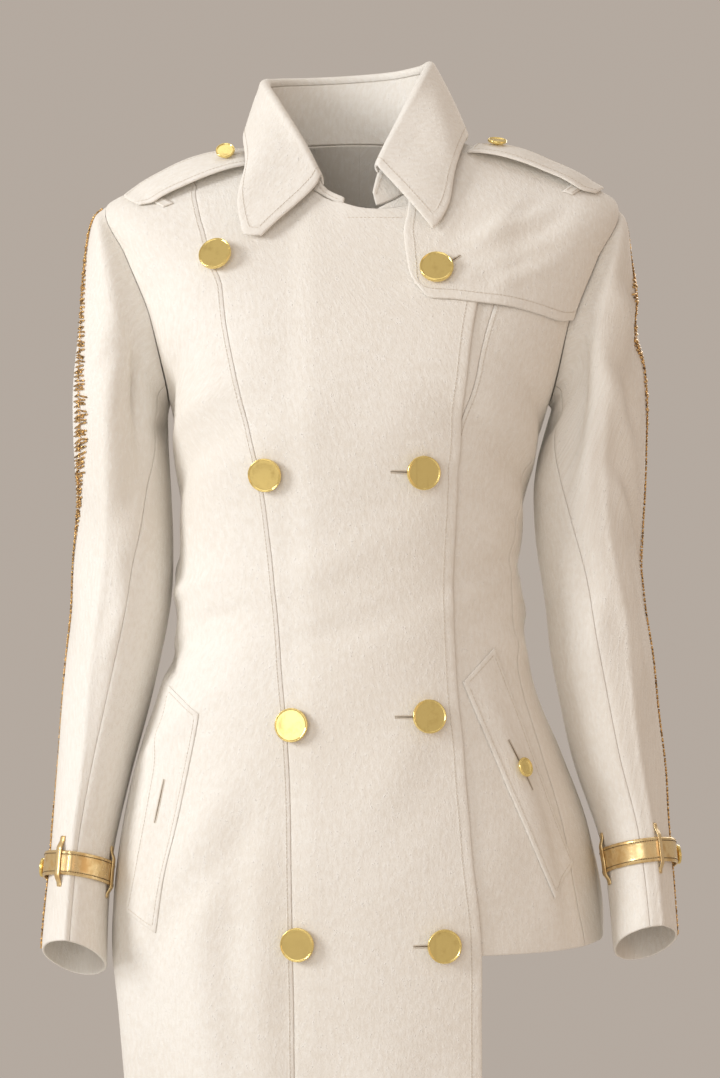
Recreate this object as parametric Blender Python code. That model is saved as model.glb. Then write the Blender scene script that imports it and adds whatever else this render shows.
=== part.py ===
"""A double-breasted trench coat in cream suede, as it hangs on a standing wearer.

The right half of the coat is long and the left half is short. The long right front wraps over the
short left front. A storm flap lies on the left shoulder, and a turned-down collar stands round the neck.

Frame: metres, +Z up, the front faces -Y, and +X is the wearer's left. The origin lies between the
shoulders, at the height where the shoulder seams meet the collar.

The body is one smooth surface, read at (turn, level). turn runs round the body in radians: 0 is the
centre front, +pi/2 the wearer's left side, pi the centre back. level is the height of a section at the
centre front, in metres. Every panel is a wall cut from that surface between its own seams.
"""

import math

import bpy
import numpy as np

MM = 0.001

# Cloth
WALL = 2.0 * MM  # suede with its backing
SEAM_GAP = 0.4 * MM  # between two pieces that are sewn together
LAYER = 2.8 * MM  # how far a piece lies outside the piece below it
MITRE = 1.0 * MM  # how much further the inside of a wall is cut back where two pieces meet at an angle

# Heights of the hems and of the sections that the cutting lines meet
LONG_HEM = -930 * MM
SHORT_HEM = -628 * MM
ARMPIT = -205 * MM
SHOULDER_POINT = -105 * MM
SHOULDER_JOINT = -75 * MM  # where the princess seam meets the shoulder seam
NECKLINE = -55 * MM

# Rows and columns of the walls
SKIRT_ROWS = 8  # from the long hem to the height of the short one
SIDE_ROWS = 12  # from the short hem to the armpit
ARMHOLE_ROWS = 10  # from the armpit to the shoulder point
SLEEVE_ROWS = 21
FRONT_SEAM_STOP = 2  # where the sleeve's front seam meets the armhole, in rows from the underarm
BACK_SEAM_STOP = 4  # the same for its back seam

# Sections of the body, from the hem up, in mm. right and left are the half widths on the wearer's sides,
# front and back are the depths before and behind the origin, and the last columns are heights and the
# share by which the section is squarer than an ellipse.
BODY_COLUMNS = ("level", "right", "left", "front", "back", "side_z", "back_z", "square")
BODY_SECTIONS = (
    (-930, 174, 174, 116, 116, -930, -930, 0.05),
    (-742, 182, 182, 117, 120, -742, -742, 0.05),
    (-680, 189, 189, 118, 122, -680, -680, 0.05),
    (-630, 194, 194, 119, 122, -630, -630, 0.05),
    (-594, 194, 191, 119, 121, -594, -594, 0.05),
    (-535, 187, 181, 117, 117, -535, -535, 0.05),
    (-479, 175, 160, 113, 106, -479, -479, 0.05),
    (-424, 158, 138, 109, 92, -424, -424, 0.05),
    (-380, 148, 131, 106, 83, -380, -380, 0.05),
    (-340, 144, 129, 105, 80, -340, -340, 0.05),
    (-300, 144, 131, 107, 84, -300, -300, 0.05),
    (-250, 147, 137, 112, 90, -250, -250, 0.05),
    (-205, 150, 149, 114, 94, -203, -203, 0.05),
    (-165, 172, 172, 111, 98, -135, -155, 0.05),
    (-130, 194, 194, 103, 96, -80, -105, 0.05),
    (-105, 202, 202, 93, 88, -45, -65, 0.04),
    (-88, 168, 168, 86, 79, -28, -42, 0.03),
    (-72, 122, 122, 79, 69, -11, -16, 0.02),
    (-55, 76, 76, 71, 55, 4, 12, 0.0),
)

# Soft forms of the body surface: where each lies (turn in degrees, level in mm), how far it reaches
# each way, how far it is turned in its own plane (degrees) and its height in mm (a trough is negative).
FORM_COLUMNS = ("turn", "level", "across", "along", "lean", "height")
BODY_FORMS = (
    (-38, -205, 24, 48, 0, 8),  # room for the bust, right
    (38, -205, 24, 48, 0, 8),  # room for the bust, left
    (-52, -640, 7, 130, 4, -5),  # hanging folds of the long half
    (-34, -760, 8, 170, -3, 5),
    (-12, -800, 9, 150, 0, -4),
    (-78, -780, 9, 160, 0, 5),
    (-104, -720, 9, 150, 0, -5),
    (-128, -760, 10, 170, 0, 5),
    (-152, -740, 9, 160, 0, -5),
    (62, -560, 7, 60, -5, -4),  # hanging folds of the short half
    (112, -560, 9, 70, 0, -4),
    (146, -570, 9, 70, 0, 4),
    (-66, -395, 14, 12, 14, -4),  # pulls at the waist
    (-150, -350, 26, 14, 8, -4),
    (150, -350, 26, 14, -8, -4),
    (58, -250, 9, 30, -22, -4),  # pull from the left armpit
    (-62, -255, 9, 26, 20, -3),
)

# Seams and edges as the front shows them: distance from the centre (mm) and height (mm), upwards.
PRINCESS_SEAM = (
    (50, -930), (50, -719), (51, -640), (52, -573), (55, -468), (60, -411), (64, -360),
    (69, -310), (75, -258), (86, -205), (99, -152), (108, -109), (118, -82), (125, -57), (128, -34),
)
OVERLAP_EDGE = (
    (92, -930), (92, -718), (92, -650), (90, -600), (85, -555), (81, -510), (76, -450), (72, -400),
    (70, -362), (71.5, -307), (72.5, -250), (75, -205), (80, -172), (88, -133), (95, -95), (98, -60),
)
HIDDEN_EDGE = ((-24, -628), (-24, -400), (-24, -250), (-26, -150), (-22, -70))
# The side seams: level (mm), then turn in degrees on the right and on the left
SIDE_SEAM = (
    (-930, 84, 64), (-700, 82, 63), (-623, 78, 62), (-575, 76, 60), (-514, 75, 60), (-478, 75, 60),
    (-414, 76, 62), (-380, 76, 62), (-362, 76, 63), (-300, 78, 66), (-250, 82, 72), (-205, 90, 90),
)
FLAP_LEFT_EDGE = ((42, -118), (37.5, -107), (35, -89), (34.5, -71))
FLAP_LOWER_EDGE = (
    (42, -118), (48, -125), (54, -129), (71, -130), (90, -132), (116, -134), (133, -137), (148, -140),
)
FLAP_ARMHOLE_TURN = 100  # degrees round the armhole, from the shoulder point, where the flap ends

# The armhole, round (turn, level) of the side: half its reach in turn, in degrees
ARMHOLE_REACH = 26

# Rings of the sleeve below the armhole, in mm: the outer edge and the inner one of each side as the front
# shows them, the depths of the front and the back, and how much higher the front is than the middle.
SLEEVE_COLUMNS = ("outer_x", "outer_z", "inner_right", "inner_left", "inner_z", "front_y", "back_y", "lift")
SLEEVE_RINGS = (
    (213, -57, 153.5, 153, -211, -62, 61, 0),
    (219, -92, 153.5, 150, -222, -66, 64, 0),
    (225, -145, 153, 146, -236, -67, 65, 0),
    (229, -196, 152, 142, -253, -65, 64, 0),
    (228, -250, 150.5, 139, -279, -62, 62, 0),
    (227, -302, 149.5, 141, -315, -60, 60, 1),
    (231, -362, 152.5, 148, -367, -58, 58, 2),
    (236, -422, 164, 155.5, -427, -58, 52, 4),
    (241, -492, 182.5, 170.5, -498, -62, 40, 7),
    (244, -550, 195.5, 190, -557, -69, 28, 10),
    (247, -595, 198.5, 196.5, -602, -77, 18, 13),
    (249, -636, 199.5, 199, -644, -86, 8, 20),
)
SLEEVE_LENGTH = {"right": 1.0, "left": 0.98}  # share of the length below the shoulder
# How far round from the outside the sleeve's two seams lie, at the armhole and then at each ring
FRONT_SLEEVE_SEAM = (144, 146, 147, 146, 140, 127, 114, 104, 99, 96, 94, 93, 92)
BACK_SLEEVE_SEAM = (-108, -108, -109, -110, -112, -114, -116, -118, -120, -122, -123, -124, -124)

# Soft forms of the sleeves: round from the outside (degrees), ring number, reaches, lean and height (mm)
SLEEVE_FORMS = {
    "right": (
        (112, 2.6, 12, 1.5, 0, -6),
        (84, 3.4, 16, 1.6, 0, 4),
        (60, 6.2, 20, 0.7, 12, -3),
        (-70, 6.0, 26, 0.8, -14, -4),
        (-40, 8.2, 24, 0.8, 12, -3),
    ),
    "left": (
        (118, 2.4, 12, 1.4, 0, -5),
        (28, 3.3, 18, 1.1, 24, -5),
        (30, 6.2, 18, 0.8, -16, -5),
        (-66, 6.1, 26, 0.8, 14, -4),
        (34, 8.4, 16, 0.9, 10, -3),
    ),
}

# The collar, from the right front end round the back to the left front end. round is degrees from the
# centre back, negative on the wearer's right. roll is the fold at the top, in mm. edge is where the leaf's
# edge lies over the body: its turn (degrees), its level (mm) and how far it stands off (mm).
COLLAR_COLUMNS = ("round", "roll_x", "roll_y", "roll_z", "edge_turn", "edge_level", "edge_off")
COLLAR_ROWS = (
    (-170, -12, -70, -47, -24, -99, 7),
    (-156, -29, -64, -36, -25, -91, 7),
    (-150, -34, -60.5, -26, -29, -93, 7),
    (-146, -37, -57, -20, -31.5, -89, 7),
    (-132, -48, -47, -1, -40, -79, 10),
    (-112, -64, -26, 28, -56, -66, 12),
    (-90, -73, 4, 47, -84, -60, 12),
    (-60, -66, 36, 56, -118, -60, 10),
    (-30, -40, 55, 60, -150, -62, 9),
    (0, -6, 62, 63, -180, -63, 9),
    (30, 27, 56, 65, -210, -62, 9),
    (60, 48, 37, 66, -242, -60, 10),
    (90, 54, 6, 62, -276, -58, 11),
    (112, 46, -22, 42, -302, -60, 11),
    (132, 31, -44, 8, -318, -66, 11),
    (146, 20, -58, -14, -328.5, -74, 11),
    (158, 14, -65, -27, -339.5, -84, 11),
    (170, 10, -70, -42, -343, -88, 11),
)
STAND_FROM, STAND_TO = -170, 170
LEAF_FROM, LEAF_TO = -156, 158
LEAF_COLUMNS, STAND_ROWS = 28, 2
ROLL_RISE = 3 * MM  # how high the leaf climbs above the stand before it rolls over
ROLL_RADIUS = 4.5 * MM
ROLL_START, ROLL_END = 0.06, 0.22  # shares of the leaf, from the stand to its edge

# Shoulder straps: turn of the centre line from the side meridian, and the levels of both ends
REST = 0.4 * MM  # between a strap and what it lies on
STRAP_WIDTH = 42 * MM
STRAP_WALL = 1.8 * MM
STRAP_ARCH = 7 * MM
LOOP_AT = 0.11  # how far along the strap its loop is, from the shoulder end
LOOP_WIDTH = 8 * MM
LOOP_WALL = 1.4 * MM
STRAPS = {
    "right": {"side": -1, "forward": 24, "outer": -98, "inner": -60.5, "on": 0},
    "left": {"side": 1, "forward": 11, "outer": -98, "inner": -60.5, "on": 1},
}

# Buttons: radius of the face, its thickness and the gap that the shank holds under it
BIG_BUTTON = {"radius": 13.0 * MM, "thick": 3.6 * MM, "stand": 2.2 * MM}
SMALL_BUTTON = {"radius": 7.6 * MM, "thick": 2.6 * MM, "stand": 1.6 * MM}
RIGHT_COLUMN = ((-110, -94), (-70, -261), (-51, -453), (-47, -618))
LEFT_COLUMN = ((46, -260), (51, -447), (63, -619))
FLAP_BUTTON = (58.5, -108)
POCKET_BUTTON = (122.5, -488)

# Pocket welts: inner and outer corner of the upper end, then of the lower end (mm)
WELTS = {
    "left": ((78.5, -421), (103, -395), (149, -588), (170, -563)),
    "right": ((-124, -446), (-150, -426), (-162, -616), (-183, -602)),
}

# Cuff straps, by sleeve ring number
CUFF_STRAP_RING = 10.42
CUFF_STRAP_WIDTH = 18 * MM
CUFF_STRAP_WALL = 1.6 * MM
CUFF_STRAP_ROUND = (-36, 344)  # its pointed end lies over its other end
CUFF_BUTTON_ROUND = -14
CUFF_KEEPERS = (64, 166)  # round from the outside, in degrees
KEEPER_LENGTH = 38 * MM
KEEPER_WIDTH = 6 * MM
KEEPER_WALL = 1.2 * MM
CUFF_REST = 1.0 * MM  # between the strap and the sleeve

SUEDE = ("suede", (0.86, 0.80, 0.71), 0.85, 0.0)
GOLD_LEATHER = ("gold_leather", (0.78, 0.57, 0.25), 0.38, 0.55)
GOLD_METAL = ("gold_metal", (0.83, 0.66, 0.22), 0.16, 1.0)


# ---------------------------------------------------------------- curves and surfaces


def through_rows(stations, values, at):
    """Cubic curve through the rows of a table; each row's slope comes from its neighbours."""
    stations = np.asarray(stations, float)
    values = np.asarray(values, float)
    slopes = np.gradient(values, stations, axis=0)
    at = np.clip(np.asarray(at, float), stations[0], stations[-1])
    row = np.clip(np.searchsorted(stations, at, side="right") - 1, 0, len(stations) - 2)
    step = stations[row + 1] - stations[row]
    t = (at - stations[row]) / step
    shape = t.shape + (1,) * (values.ndim - 1)
    t, step = t.reshape(shape), step.reshape(shape)
    start, end = values[row], values[row + 1]
    start_slope, end_slope = slopes[row] * step, slopes[row + 1] * step
    return (
        (2 * t**3 - 3 * t**2 + 1) * start
        + (t**3 - 2 * t**2 + t) * start_slope
        + (3 * t**2 - 2 * t**3) * end
        + (t**3 - t**2) * end_slope
    )


def ease(value, low, high):
    """0 below low, 1 above high, and smooth between."""
    t = np.clip((value - low) / (high - low), 0, 1)
    return t * t * (3 - 2 * t)


def forms_height(forms, turn, level):
    """Sum of the soft forms at (turn, level), both in the units of the forms' table."""
    total = np.zeros(np.broadcast(turn, level).shape)
    for centre_turn, centre_level, across, along, lean, height in forms:
        up = (level - centre_level) / along
        side = (turn - centre_turn - lean * up) / across
        total = total + height * MM * np.exp(-0.5 * (side**2 + up**2))
    return total


def body_base(turn, level):
    """Body surface before its soft forms: sections that are squared ellipses, tilted near the shoulders."""
    turn, level = np.broadcast_arrays(np.asarray(turn, float), np.asarray(level, float))
    table = np.array(BODY_SECTIONS, float)
    section = through_rows(table[:, 0] * MM, table[:, 1:], level)
    right, left, front, back, side_z, back_z = (section[..., k] * MM for k in range(6))
    square = 1 + section[..., 6] * np.sin(2 * turn) ** 2
    across, ahead = np.sin(turn), np.cos(turn)
    x = np.where(across < 0, right, left) * across * square
    y = -np.where(ahead < 0, back, front) * ahead * square
    end_z = np.where(ahead < 0, back_z, level)
    z = side_z + (end_z - side_z) * ahead**2
    return np.stack([x, y, z], -1)


def normals_of(surface, turn, level, turn_step=1e-3, level_step=2e-4):
    """Outward normals of a surface, from differences of its points."""
    level = np.clip(level, LONG_HEM + MM, NECKLINE - MM)
    along_turn = surface(turn + turn_step, level) - surface(turn - turn_step, level)
    along_level = surface(turn, level + level_step) - surface(turn, level - level_step)
    normal = np.cross(along_turn, along_level)
    return normal / np.linalg.norm(normal, axis=-1, keepdims=True)


def body(turn, level):
    """Body surface with its soft forms: each point is moved along the base's normal."""
    turn, level = np.broadcast_arrays(np.asarray(turn, float), np.asarray(level, float))
    degrees = (np.degrees(turn) + 180) % 360 - 180
    height = forms_height(BODY_FORMS, degrees, level / MM)
    normal = normals_of(body_base, turn, level)
    return body_base(turn, level) + normal * height[..., None]


def right_layer(turn, level):
    """The body where the long right front wraps over the left one: it rises by a layer past the centre."""
    points = body(turn, level)
    rise = LAYER * ease(points[..., 0] / MM, -58, -34) * (np.cos(turn) > 0)
    return points + normals_of(body, turn, level) * rise[..., None]


def locate(points):
    """(turn, level) of places on the front, given as (distance from the centre, height) in mm."""
    wanted = np.asarray(points, float) * MM
    x, z = wanted[:, 0], wanted[:, 1]
    low, high = np.full(x.shape, LONG_HEM), np.full(x.shape, NECKLINE)
    table = np.array(BODY_SECTIONS, float)
    for _ in range(40):
        level = (low + high) / 2
        section = through_rows(table[:, 0] * MM, table[:, 1:], level)
        half = np.where(x < 0, section[:, 0], section[:, 1]) * MM
        turn = np.arcsin(np.clip(x / half, -1, 1))
        for _ in range(8):
            square = 1 + section[:, 6] * np.sin(2 * turn) ** 2
            turn = np.arcsin(np.clip(x / half / square, -1, 1))
        below = (body_base(turn, level)[:, 2] < z) & ((np.abs(x) < half) | (level < ARMPIT))
        low, high = np.where(below, level, low), np.where(below, high, level)
    return np.stack([turn, level], -1)


def resample(path, count, measure=None):
    """count + 1 points spaced evenly along a path, by the distance between the points or measure."""
    path = np.asarray(path, float)
    seen = path if measure is None else measure(path)
    run = np.concatenate([[0], np.cumsum(np.linalg.norm(np.diff(seen, axis=0), axis=1))])
    even = np.linspace(0, run[-1], count + 1)
    return np.stack([np.interp(even, run, path[:, k]) for k in range(path.shape[1])], -1)


def on_body(path):
    """The 3-D points of a path in (turn, level)."""
    return body_base(path[:, 0], path[:, 1])


def dense(turn_a, level_a, turn_b, level_b, count=24):
    """Straight path in (turn, level) between two places."""
    share = np.linspace(0, 1, count)[:, None]
    return (1 - share) * np.array([turn_a, level_a]) + share * np.array([turn_b, level_b])


def patch(bottom, top, left, right):
    """Coons patch in (turn, level): bottom and top run across, left and right run upwards."""
    across = np.linspace(0, 1, len(bottom))[None, :, None]
    up = np.linspace(0, 1, len(left))[:, None, None]
    between_sides = (1 - across) * left[:, None] + across * right[:, None]
    between_ends = (1 - up) * bottom[None] + up * top[None]
    corners = (
        (1 - across) * (1 - up) * bottom[0]
        + across * (1 - up) * bottom[-1]
        + (1 - across) * up * top[0]
        + across * up * top[-1]
    )
    return between_sides + between_ends - corners


def place_of(points, side=0):
    """(turn, level) of points near the body: the level whose section passes through each of them."""
    x, y, z = points[..., 0], points[..., 1], points[..., 2]
    low, high = np.full(x.shape, LONG_HEM), np.full(x.shape, NECKLINE)
    table = np.array(BODY_SECTIONS, float)
    sign = np.where(x < 0, -1.0, 1.0) if side == 0 else side
    for _ in range(36):
        level = (low + high) / 2
        section = through_rows(table[:, 0] * MM, table[:, 1:5] * MM, level)
        half = np.where(sign < 0, section[..., 0], section[..., 1])
        depth = np.where(y > 0, section[..., 3], section[..., 2])
        turn = sign * np.arctan2(np.maximum(sign * x, 0) / half, -y / depth)
        below = body_base(turn, level)[..., 2] < z
        low, high = np.where(below, level, low), np.where(below, high, level)
    return np.stack([turn, level], -1)


def body_patch(bottom, top, left, right, side=0):
    """Grid of (turn, level) between four paths, evened out by their points rather than their turns."""
    cut = place_of(patch(*(on_body(path) for path in (bottom, top, left, right))), side)
    cut[0], cut[-1], cut[:, 0], cut[:, -1] = bottom, top, left, right
    return cut


def panel_cut(left, right, top, columns, low_rows, side=0):
    """Grid of a body panel: level rows up to the armpit, then a patch up to its top."""
    share = np.linspace(0, 1, columns + 1)[None, :, None]
    low = (1 - share) * left[: low_rows + 1, None] + share * right[: low_rows + 1, None]
    high = body_patch(low[-1], resample(top, columns, on_body), left[low_rows:], right[low_rows:], side)
    return np.concatenate([low[:-1], high])


# ---------------------------------------------------------------- solids


def finish_of(slot):
    """The material of a slot, made once."""
    name, colour, roughness, metallic = slot
    material = bpy.data.materials.get(name)
    if material is None:
        material = bpy.data.materials.new(name)
        material.use_nodes = True
        shader = material.node_tree.nodes["Principled BSDF"]
        shader.inputs["Base Color"].default_value = (*colour, 1)
        shader.inputs["Roughness"].default_value = roughness
        shader.inputs["Metallic"].default_value = metallic
    return material


def add_object(name, points, faces, slot):
    """Makes one named object from points and faces."""
    mesh = bpy.data.meshes.new(name)
    mesh.from_pydata([tuple(p) for p in points], [], faces)
    mesh.materials.append(finish_of(slot))
    mesh.shade_smooth()
    mesh.set_sharp_from_angle(angle=math.radians(50))
    made = bpy.data.objects.new(name, mesh)
    bpy.context.scene.collection.objects.link(made)
    return made


def add_wall(name, outer, inner, slot):
    """A closed wall between two grids of points: both sides of the wall are split along the same diagonals."""
    rows, columns = outer.shape[:2]
    offset = rows * columns
    faces = []
    for row in range(rows - 1):
        for column in range(columns - 1):
            a = row * columns + column
            b, c, d = a + 1, a + columns + 1, a + columns
            rising = np.linalg.norm(outer[row + 1, column + 1] - outer[row, column])
            falling = np.linalg.norm(outer[row + 1, column] - outer[row, column + 1])
            split = ((a, b, c), (a, c, d)) if rising < falling else ((a, b, d), (b, c, d))
            faces.extend(split)
            faces.extend(tuple(offset + point for point in reversed(face)) for face in split)
    border = list(range(columns))
    border += [row * columns + columns - 1 for row in range(1, rows)]
    border += [(rows - 1) * columns + column for column in range(columns - 2, -1, -1)]
    border += [row * columns for row in range(rows - 2, 0, -1)]
    for a, b in zip(border, border[1:] + border[:1]):
        faces.append((b, a, offset + a))
        faces.append((b, offset + a, offset + b))
    points = np.concatenate([outer.reshape(-1, 3), inner.reshape(-1, 3)])
    return add_object(name, points, faces, slot)


def pull_in(grid, side, amount):
    """Moves one border of a grid towards its inside, which leaves half of the seam's gap there."""
    borders = {
        "left": (np.s_[:, 0], np.s_[:, 1]),
        "right": (np.s_[:, -1], np.s_[:, -2]),
        "bottom": (np.s_[0], np.s_[1]),
        "top": (np.s_[-1], np.s_[-2]),
    }
    border, inside = borders[side]
    moved = grid.copy()
    way = grid[inside] - grid[border]
    length = np.linalg.norm(way, axis=-1, keepdims=True)
    moved[border] += way / length * np.broadcast_to(amount, length.shape[:1])[:, None]
    return moved


def add_panel(name, cut, surface, sewn, offset=0.0, wall=WALL, slot=SUEDE):
    """A wall cut from a surface.

    cut holds (turn, level) for each point of the grid. sewn gives, for each sewn border, the border's
    extra mitre: a number, or an array with one for each of its points.
    """
    turn, level = cut[..., 0], cut[..., 1]
    normal = normals_of(surface, turn, level)
    outer = surface(turn, level) + normal * np.broadcast_to(offset, turn.shape)[..., None]
    inner = outer - normal * wall
    for side, mitre in sewn.items():
        outer = pull_in(outer, side, SEAM_GAP / 2)
        inner = pull_in(inner, side, SEAM_GAP / 2 + np.asarray(mitre))
    return add_wall(name, outer, inner, slot)


# ---------------------------------------------------------------- body panels


def armhole(side, round_degrees, clear=0.0):
    """(turn, level) round the armhole: 0 is the shoulder point, 90 the front, 180 the underarm."""
    b = np.radians(np.asarray(round_degrees, float))
    top = SHOULDER_POINT + 0.5 * clear
    middle = (top + ARMPIT) / 2
    reach = math.radians(ARMHOLE_REACH) + clear / (150 * MM)
    turn = side * (math.pi / 2 - reach * np.sin(b))
    return np.stack([turn, middle + (top - middle) * np.cos(b)], -1)


def row_levels(long):
    """Levels of the rows from a hem to the armpit: both halves share the rows above the short hem."""
    side = np.linspace(SHORT_HEM, ARMPIT, SIDE_ROWS + 1)
    return np.concatenate([np.linspace(LONG_HEM, SHORT_HEM, SKIRT_ROWS + 1)[:-1], side]) if long else side


def seam_path(seam, side, long):
    """A seam given as the front shows it, read at the levels of the rows."""
    places = locate([(side * x, z) for x, z in seam])
    levels = row_levels(long)
    return np.stack([through_rows(places[:, 1], places[:, 0], levels), levels], -1)


def upper_path(low, seam, side):
    """The part of a seam above the armpit, evened out."""
    places = locate([(side * x, z) for x, z in seam])
    return np.concatenate([low[-1:], places[places[:, 1] > ARMPIT + 6 * MM]])


def princess_path(side, long):
    """The princess seam, from a hem over the bust to the shoulder."""
    low = seam_path(PRINCESS_SEAM, side, long)
    joint = [[side * math.pi / 2, SHOULDER_JOINT]]
    high = np.concatenate([upper_path(low, PRINCESS_SEAM, side), joint])
    return np.concatenate([low[:-1], resample(high, ARMHOLE_ROWS, on_body)])


def side_path(side, long, around):
    """The side seam up to the armpit, then round the front (1) or the back (-1) of the armhole."""
    table = np.array(SIDE_SEAM, float)
    levels = row_levels(long)
    turn = np.radians(through_rows(table[:, 0] * MM, table[:, 1 if side < 0 else 2], levels))
    low = np.stack([side * turn, levels], -1)
    hole = resample(armhole(side, around * np.linspace(180, 0, 90)), ARMHOLE_ROWS, on_body)
    return np.concatenate([low[:-1], hole])


def free_path(edge, side, long):
    """A front edge that is not sewn."""
    low = seam_path(edge, side, long)
    return np.concatenate([low[:-1], resample(upper_path(low, edge, side), ARMHOLE_ROWS, on_body)])


def armhole_mitre(path):
    """The extra mitre of a side path: only its part round the armhole meets the sleeve at an angle."""
    return np.where(np.arange(len(path)) >= len(path) - ARMHOLE_ROWS - 1, MITRE, 0.0)


def shoulder_to_neck(side, start_level):
    """Along the shoulder seam from start_level to the neckline."""
    return dense(side * math.pi / 2, start_level, side * math.pi / 2, NECKLINE)


def add_front_right():
    """The long right front: from its princess seam to the free edge, past the centre."""
    left = princess_path(-1, True)
    right = free_path(OVERLAP_EDGE, 1, True)
    neck = dense(-math.pi / 2, NECKLINE, math.radians(-9), NECKLINE)
    step = locate([(-8, -56.5), (36, -56.5), (70, -58), (90, -59.5)])
    top = np.concatenate([shoulder_to_neck(-1, SHOULDER_JOINT)[:-1], neck, step, right[-1:]])
    cut = panel_cut(left, right, top, 11, SKIRT_ROWS + SIDE_ROWS)
    add_panel("front_right", cut, right_layer, {"left": 0, "top": 0})


def add_front_left():
    """The short left front, most of which lies under the right one."""
    left = free_path(HIDDEN_EDGE, 1, False)
    right = princess_path(1, False)
    under = NECKLINE - 6 * MM
    neck = np.concatenate(
        [
            dense(left[-1, 0], left[-1, 1], math.radians(8), under),
            dense(math.radians(11), NECKLINE, math.pi / 2, NECKLINE),
        ]
    )
    top = np.concatenate([neck[:-1], shoulder_to_neck(1, SHOULDER_JOINT)[::-1]])
    cut = panel_cut(left, right, top, 9, SIDE_ROWS)
    add_panel("front_left", cut, body, {"right": 0, "top": 0})


def add_side_front(name, side, surface):
    """Side front: from the princess seam to the side seam and the armhole."""
    long = side < 0
    inner, outer = princess_path(side, long), side_path(side, long, 1)
    left, right = (inner, outer) if side > 0 else (outer, inner)
    rows = SIDE_ROWS + (SKIRT_ROWS if long else 0)
    cut = panel_cut(left, right, dense(*left[-1], *right[-1]), 6, rows)
    mitre = armhole_mitre(outer)
    sewn = {"left": 0, "right": mitre} if side > 0 else {"left": mitre, "right": 0}
    add_panel(name, cut, surface, {**sewn, "top": 0})


def add_back(name, side):
    """One half of the back: from the side seam and the armhole to the centre back seam."""
    long = side < 0
    outer = side_path(side, long, -1)
    levels = row_levels(long)
    low = np.stack([np.full(len(levels), side * math.pi), levels], -1)
    high = resample(dense(side * math.pi, ARMPIT, side * math.pi, NECKLINE), ARMHOLE_ROWS, on_body)
    centre = np.concatenate([low[:-1], high])
    neck = dense(side * math.pi / 2, NECKLINE, side * math.pi, NECKLINE)
    top = np.concatenate([shoulder_to_neck(side, SHOULDER_POINT)[:-1], neck])
    left, right = outer, centre
    if side < 0:
        left, right, top = centre, outer, top[::-1]
    cut = panel_cut(left, right, top, 9, SIDE_ROWS + (SKIRT_ROWS if long else 0), side)
    mitre = armhole_mitre(outer)
    sewn = {"left": mitre, "right": 0} if side > 0 else {"left": 0, "right": mitre}
    add_panel(name, cut, body, {**sewn, "top": 0})


def flap_offset(points):
    """How far the storm flap's outside lies above the body: two layers over the overlap, one beyond it."""
    beside = ease(points[..., 0] / MM, 104, 126)
    above = ease(points[..., 2] / MM, -52, -34)
    outside = ease(points[..., 0] / MM, 140, 165)
    return LAYER * (1.3 + 0.7 * (1 - beside) * (1 - above) + 0.4 * outside)


def add_storm_flap():
    """The storm flap on the left shoulder, which lies over the overlap's upper end."""
    rows, columns = 10, 11
    end = NECKLINE - 1.5 * MM
    arm = armhole(1, np.linspace(FLAP_ARMHOLE_TURN, 0, 40), 4 * MM)
    lower = np.concatenate([locate(FLAP_LOWER_EDGE), arm[:1]])
    left = np.concatenate([locate(FLAP_LEFT_EDGE), [[math.radians(27), end]]])
    neck = dense(math.radians(27), end, math.pi / 2, end)
    shoulder = dense(math.pi / 2, end, *arm[-1])
    cut = body_patch(
        resample(lower, columns, on_body),
        resample(np.concatenate([neck[:-1], shoulder]), columns, on_body),
        resample(left, rows, on_body),
        resample(arm, rows, on_body),
        1,
    )
    add_panel("storm_flap", cut, body, {}, flap_offset(body_base(cut[..., 0], cut[..., 1])))


def add_welt(side):
    """A pocket welt, which lies on the side front and slants down towards the side seam."""
    corners = np.array(WELTS[side], float)
    across = np.linspace(0, 1, 4)[None, :, None]
    up = np.linspace(0, 1, 8)[:, None, None]
    inner_top, outer_top, inner_low, outer_low = corners
    left_low, right_low, left_top, right_top = inner_low, outer_low, inner_top, outer_top
    if side == "right":
        left_low, right_low, left_top, right_top = outer_low, inner_low, outer_top, inner_top
    low = (1 - across) * left_low + across * right_low
    top = (1 - across) * left_top + across * right_top
    grid = (1 - up) * low + up * top
    cut = locate(grid.reshape(-1, 2)).reshape(grid.shape)
    add_panel(f"welt_{side}", cut, right_layer if side == "right" else body, {}, LAYER)


# ---------------------------------------------------------------- collar


def collar_row(table_column, at):
    """One column of the collar's table, read at a place round the neck (degrees from the centre back)."""
    table = np.array(COLLAR_ROWS, float)
    return through_rows(table[:, 0], table[:, COLLAR_COLUMNS.index(table_column)], at)


def roll_line(at):
    """The fold at the top of the stand."""
    return np.stack([collar_row(name, at) for name in ("roll_x", "roll_y", "roll_z")], -1) * MM


def neck_edge(at):
    """The neckline of the body."""
    turn, level = -np.radians(180 + at), np.full(np.shape(at), NECKLINE)
    return np.where((at < 0)[..., None], right_layer(turn, level), body(turn, level))


def outwards(at):
    """Level directions out of the neck."""
    along = neck_edge(at + 2) - neck_edge(at - 2) + roll_line(at + 2) - roll_line(at - 2)
    out = np.stack([-along[..., 1], along[..., 0], 0 * along[..., 0]], -1)
    out *= -np.sign((out * roll_line(at)).sum(-1) * -1)[..., None]
    return out / np.linalg.norm(out, axis=-1, keepdims=True)


def stand_frame(at):
    """(foot, roll, up, out) of the stand: its two edges and the directions up it and out of it."""
    foot, roll = neck_edge(at), roll_line(at)
    up = roll - foot
    up /= np.linalg.norm(up, axis=-1, keepdims=True)
    out = outwards(at)
    out = out - up * (out * up).sum(-1, keepdims=True)
    return foot, roll, up, out / np.linalg.norm(out, axis=-1, keepdims=True)


def leaf_stops():
    """Places round the neck where the leaf's columns lie; the stand's columns meet them."""
    return np.concatenate([[LEAF_FROM, -150], np.linspace(-142, LEAF_TO, LEAF_COLUMNS - 1)])


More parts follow.
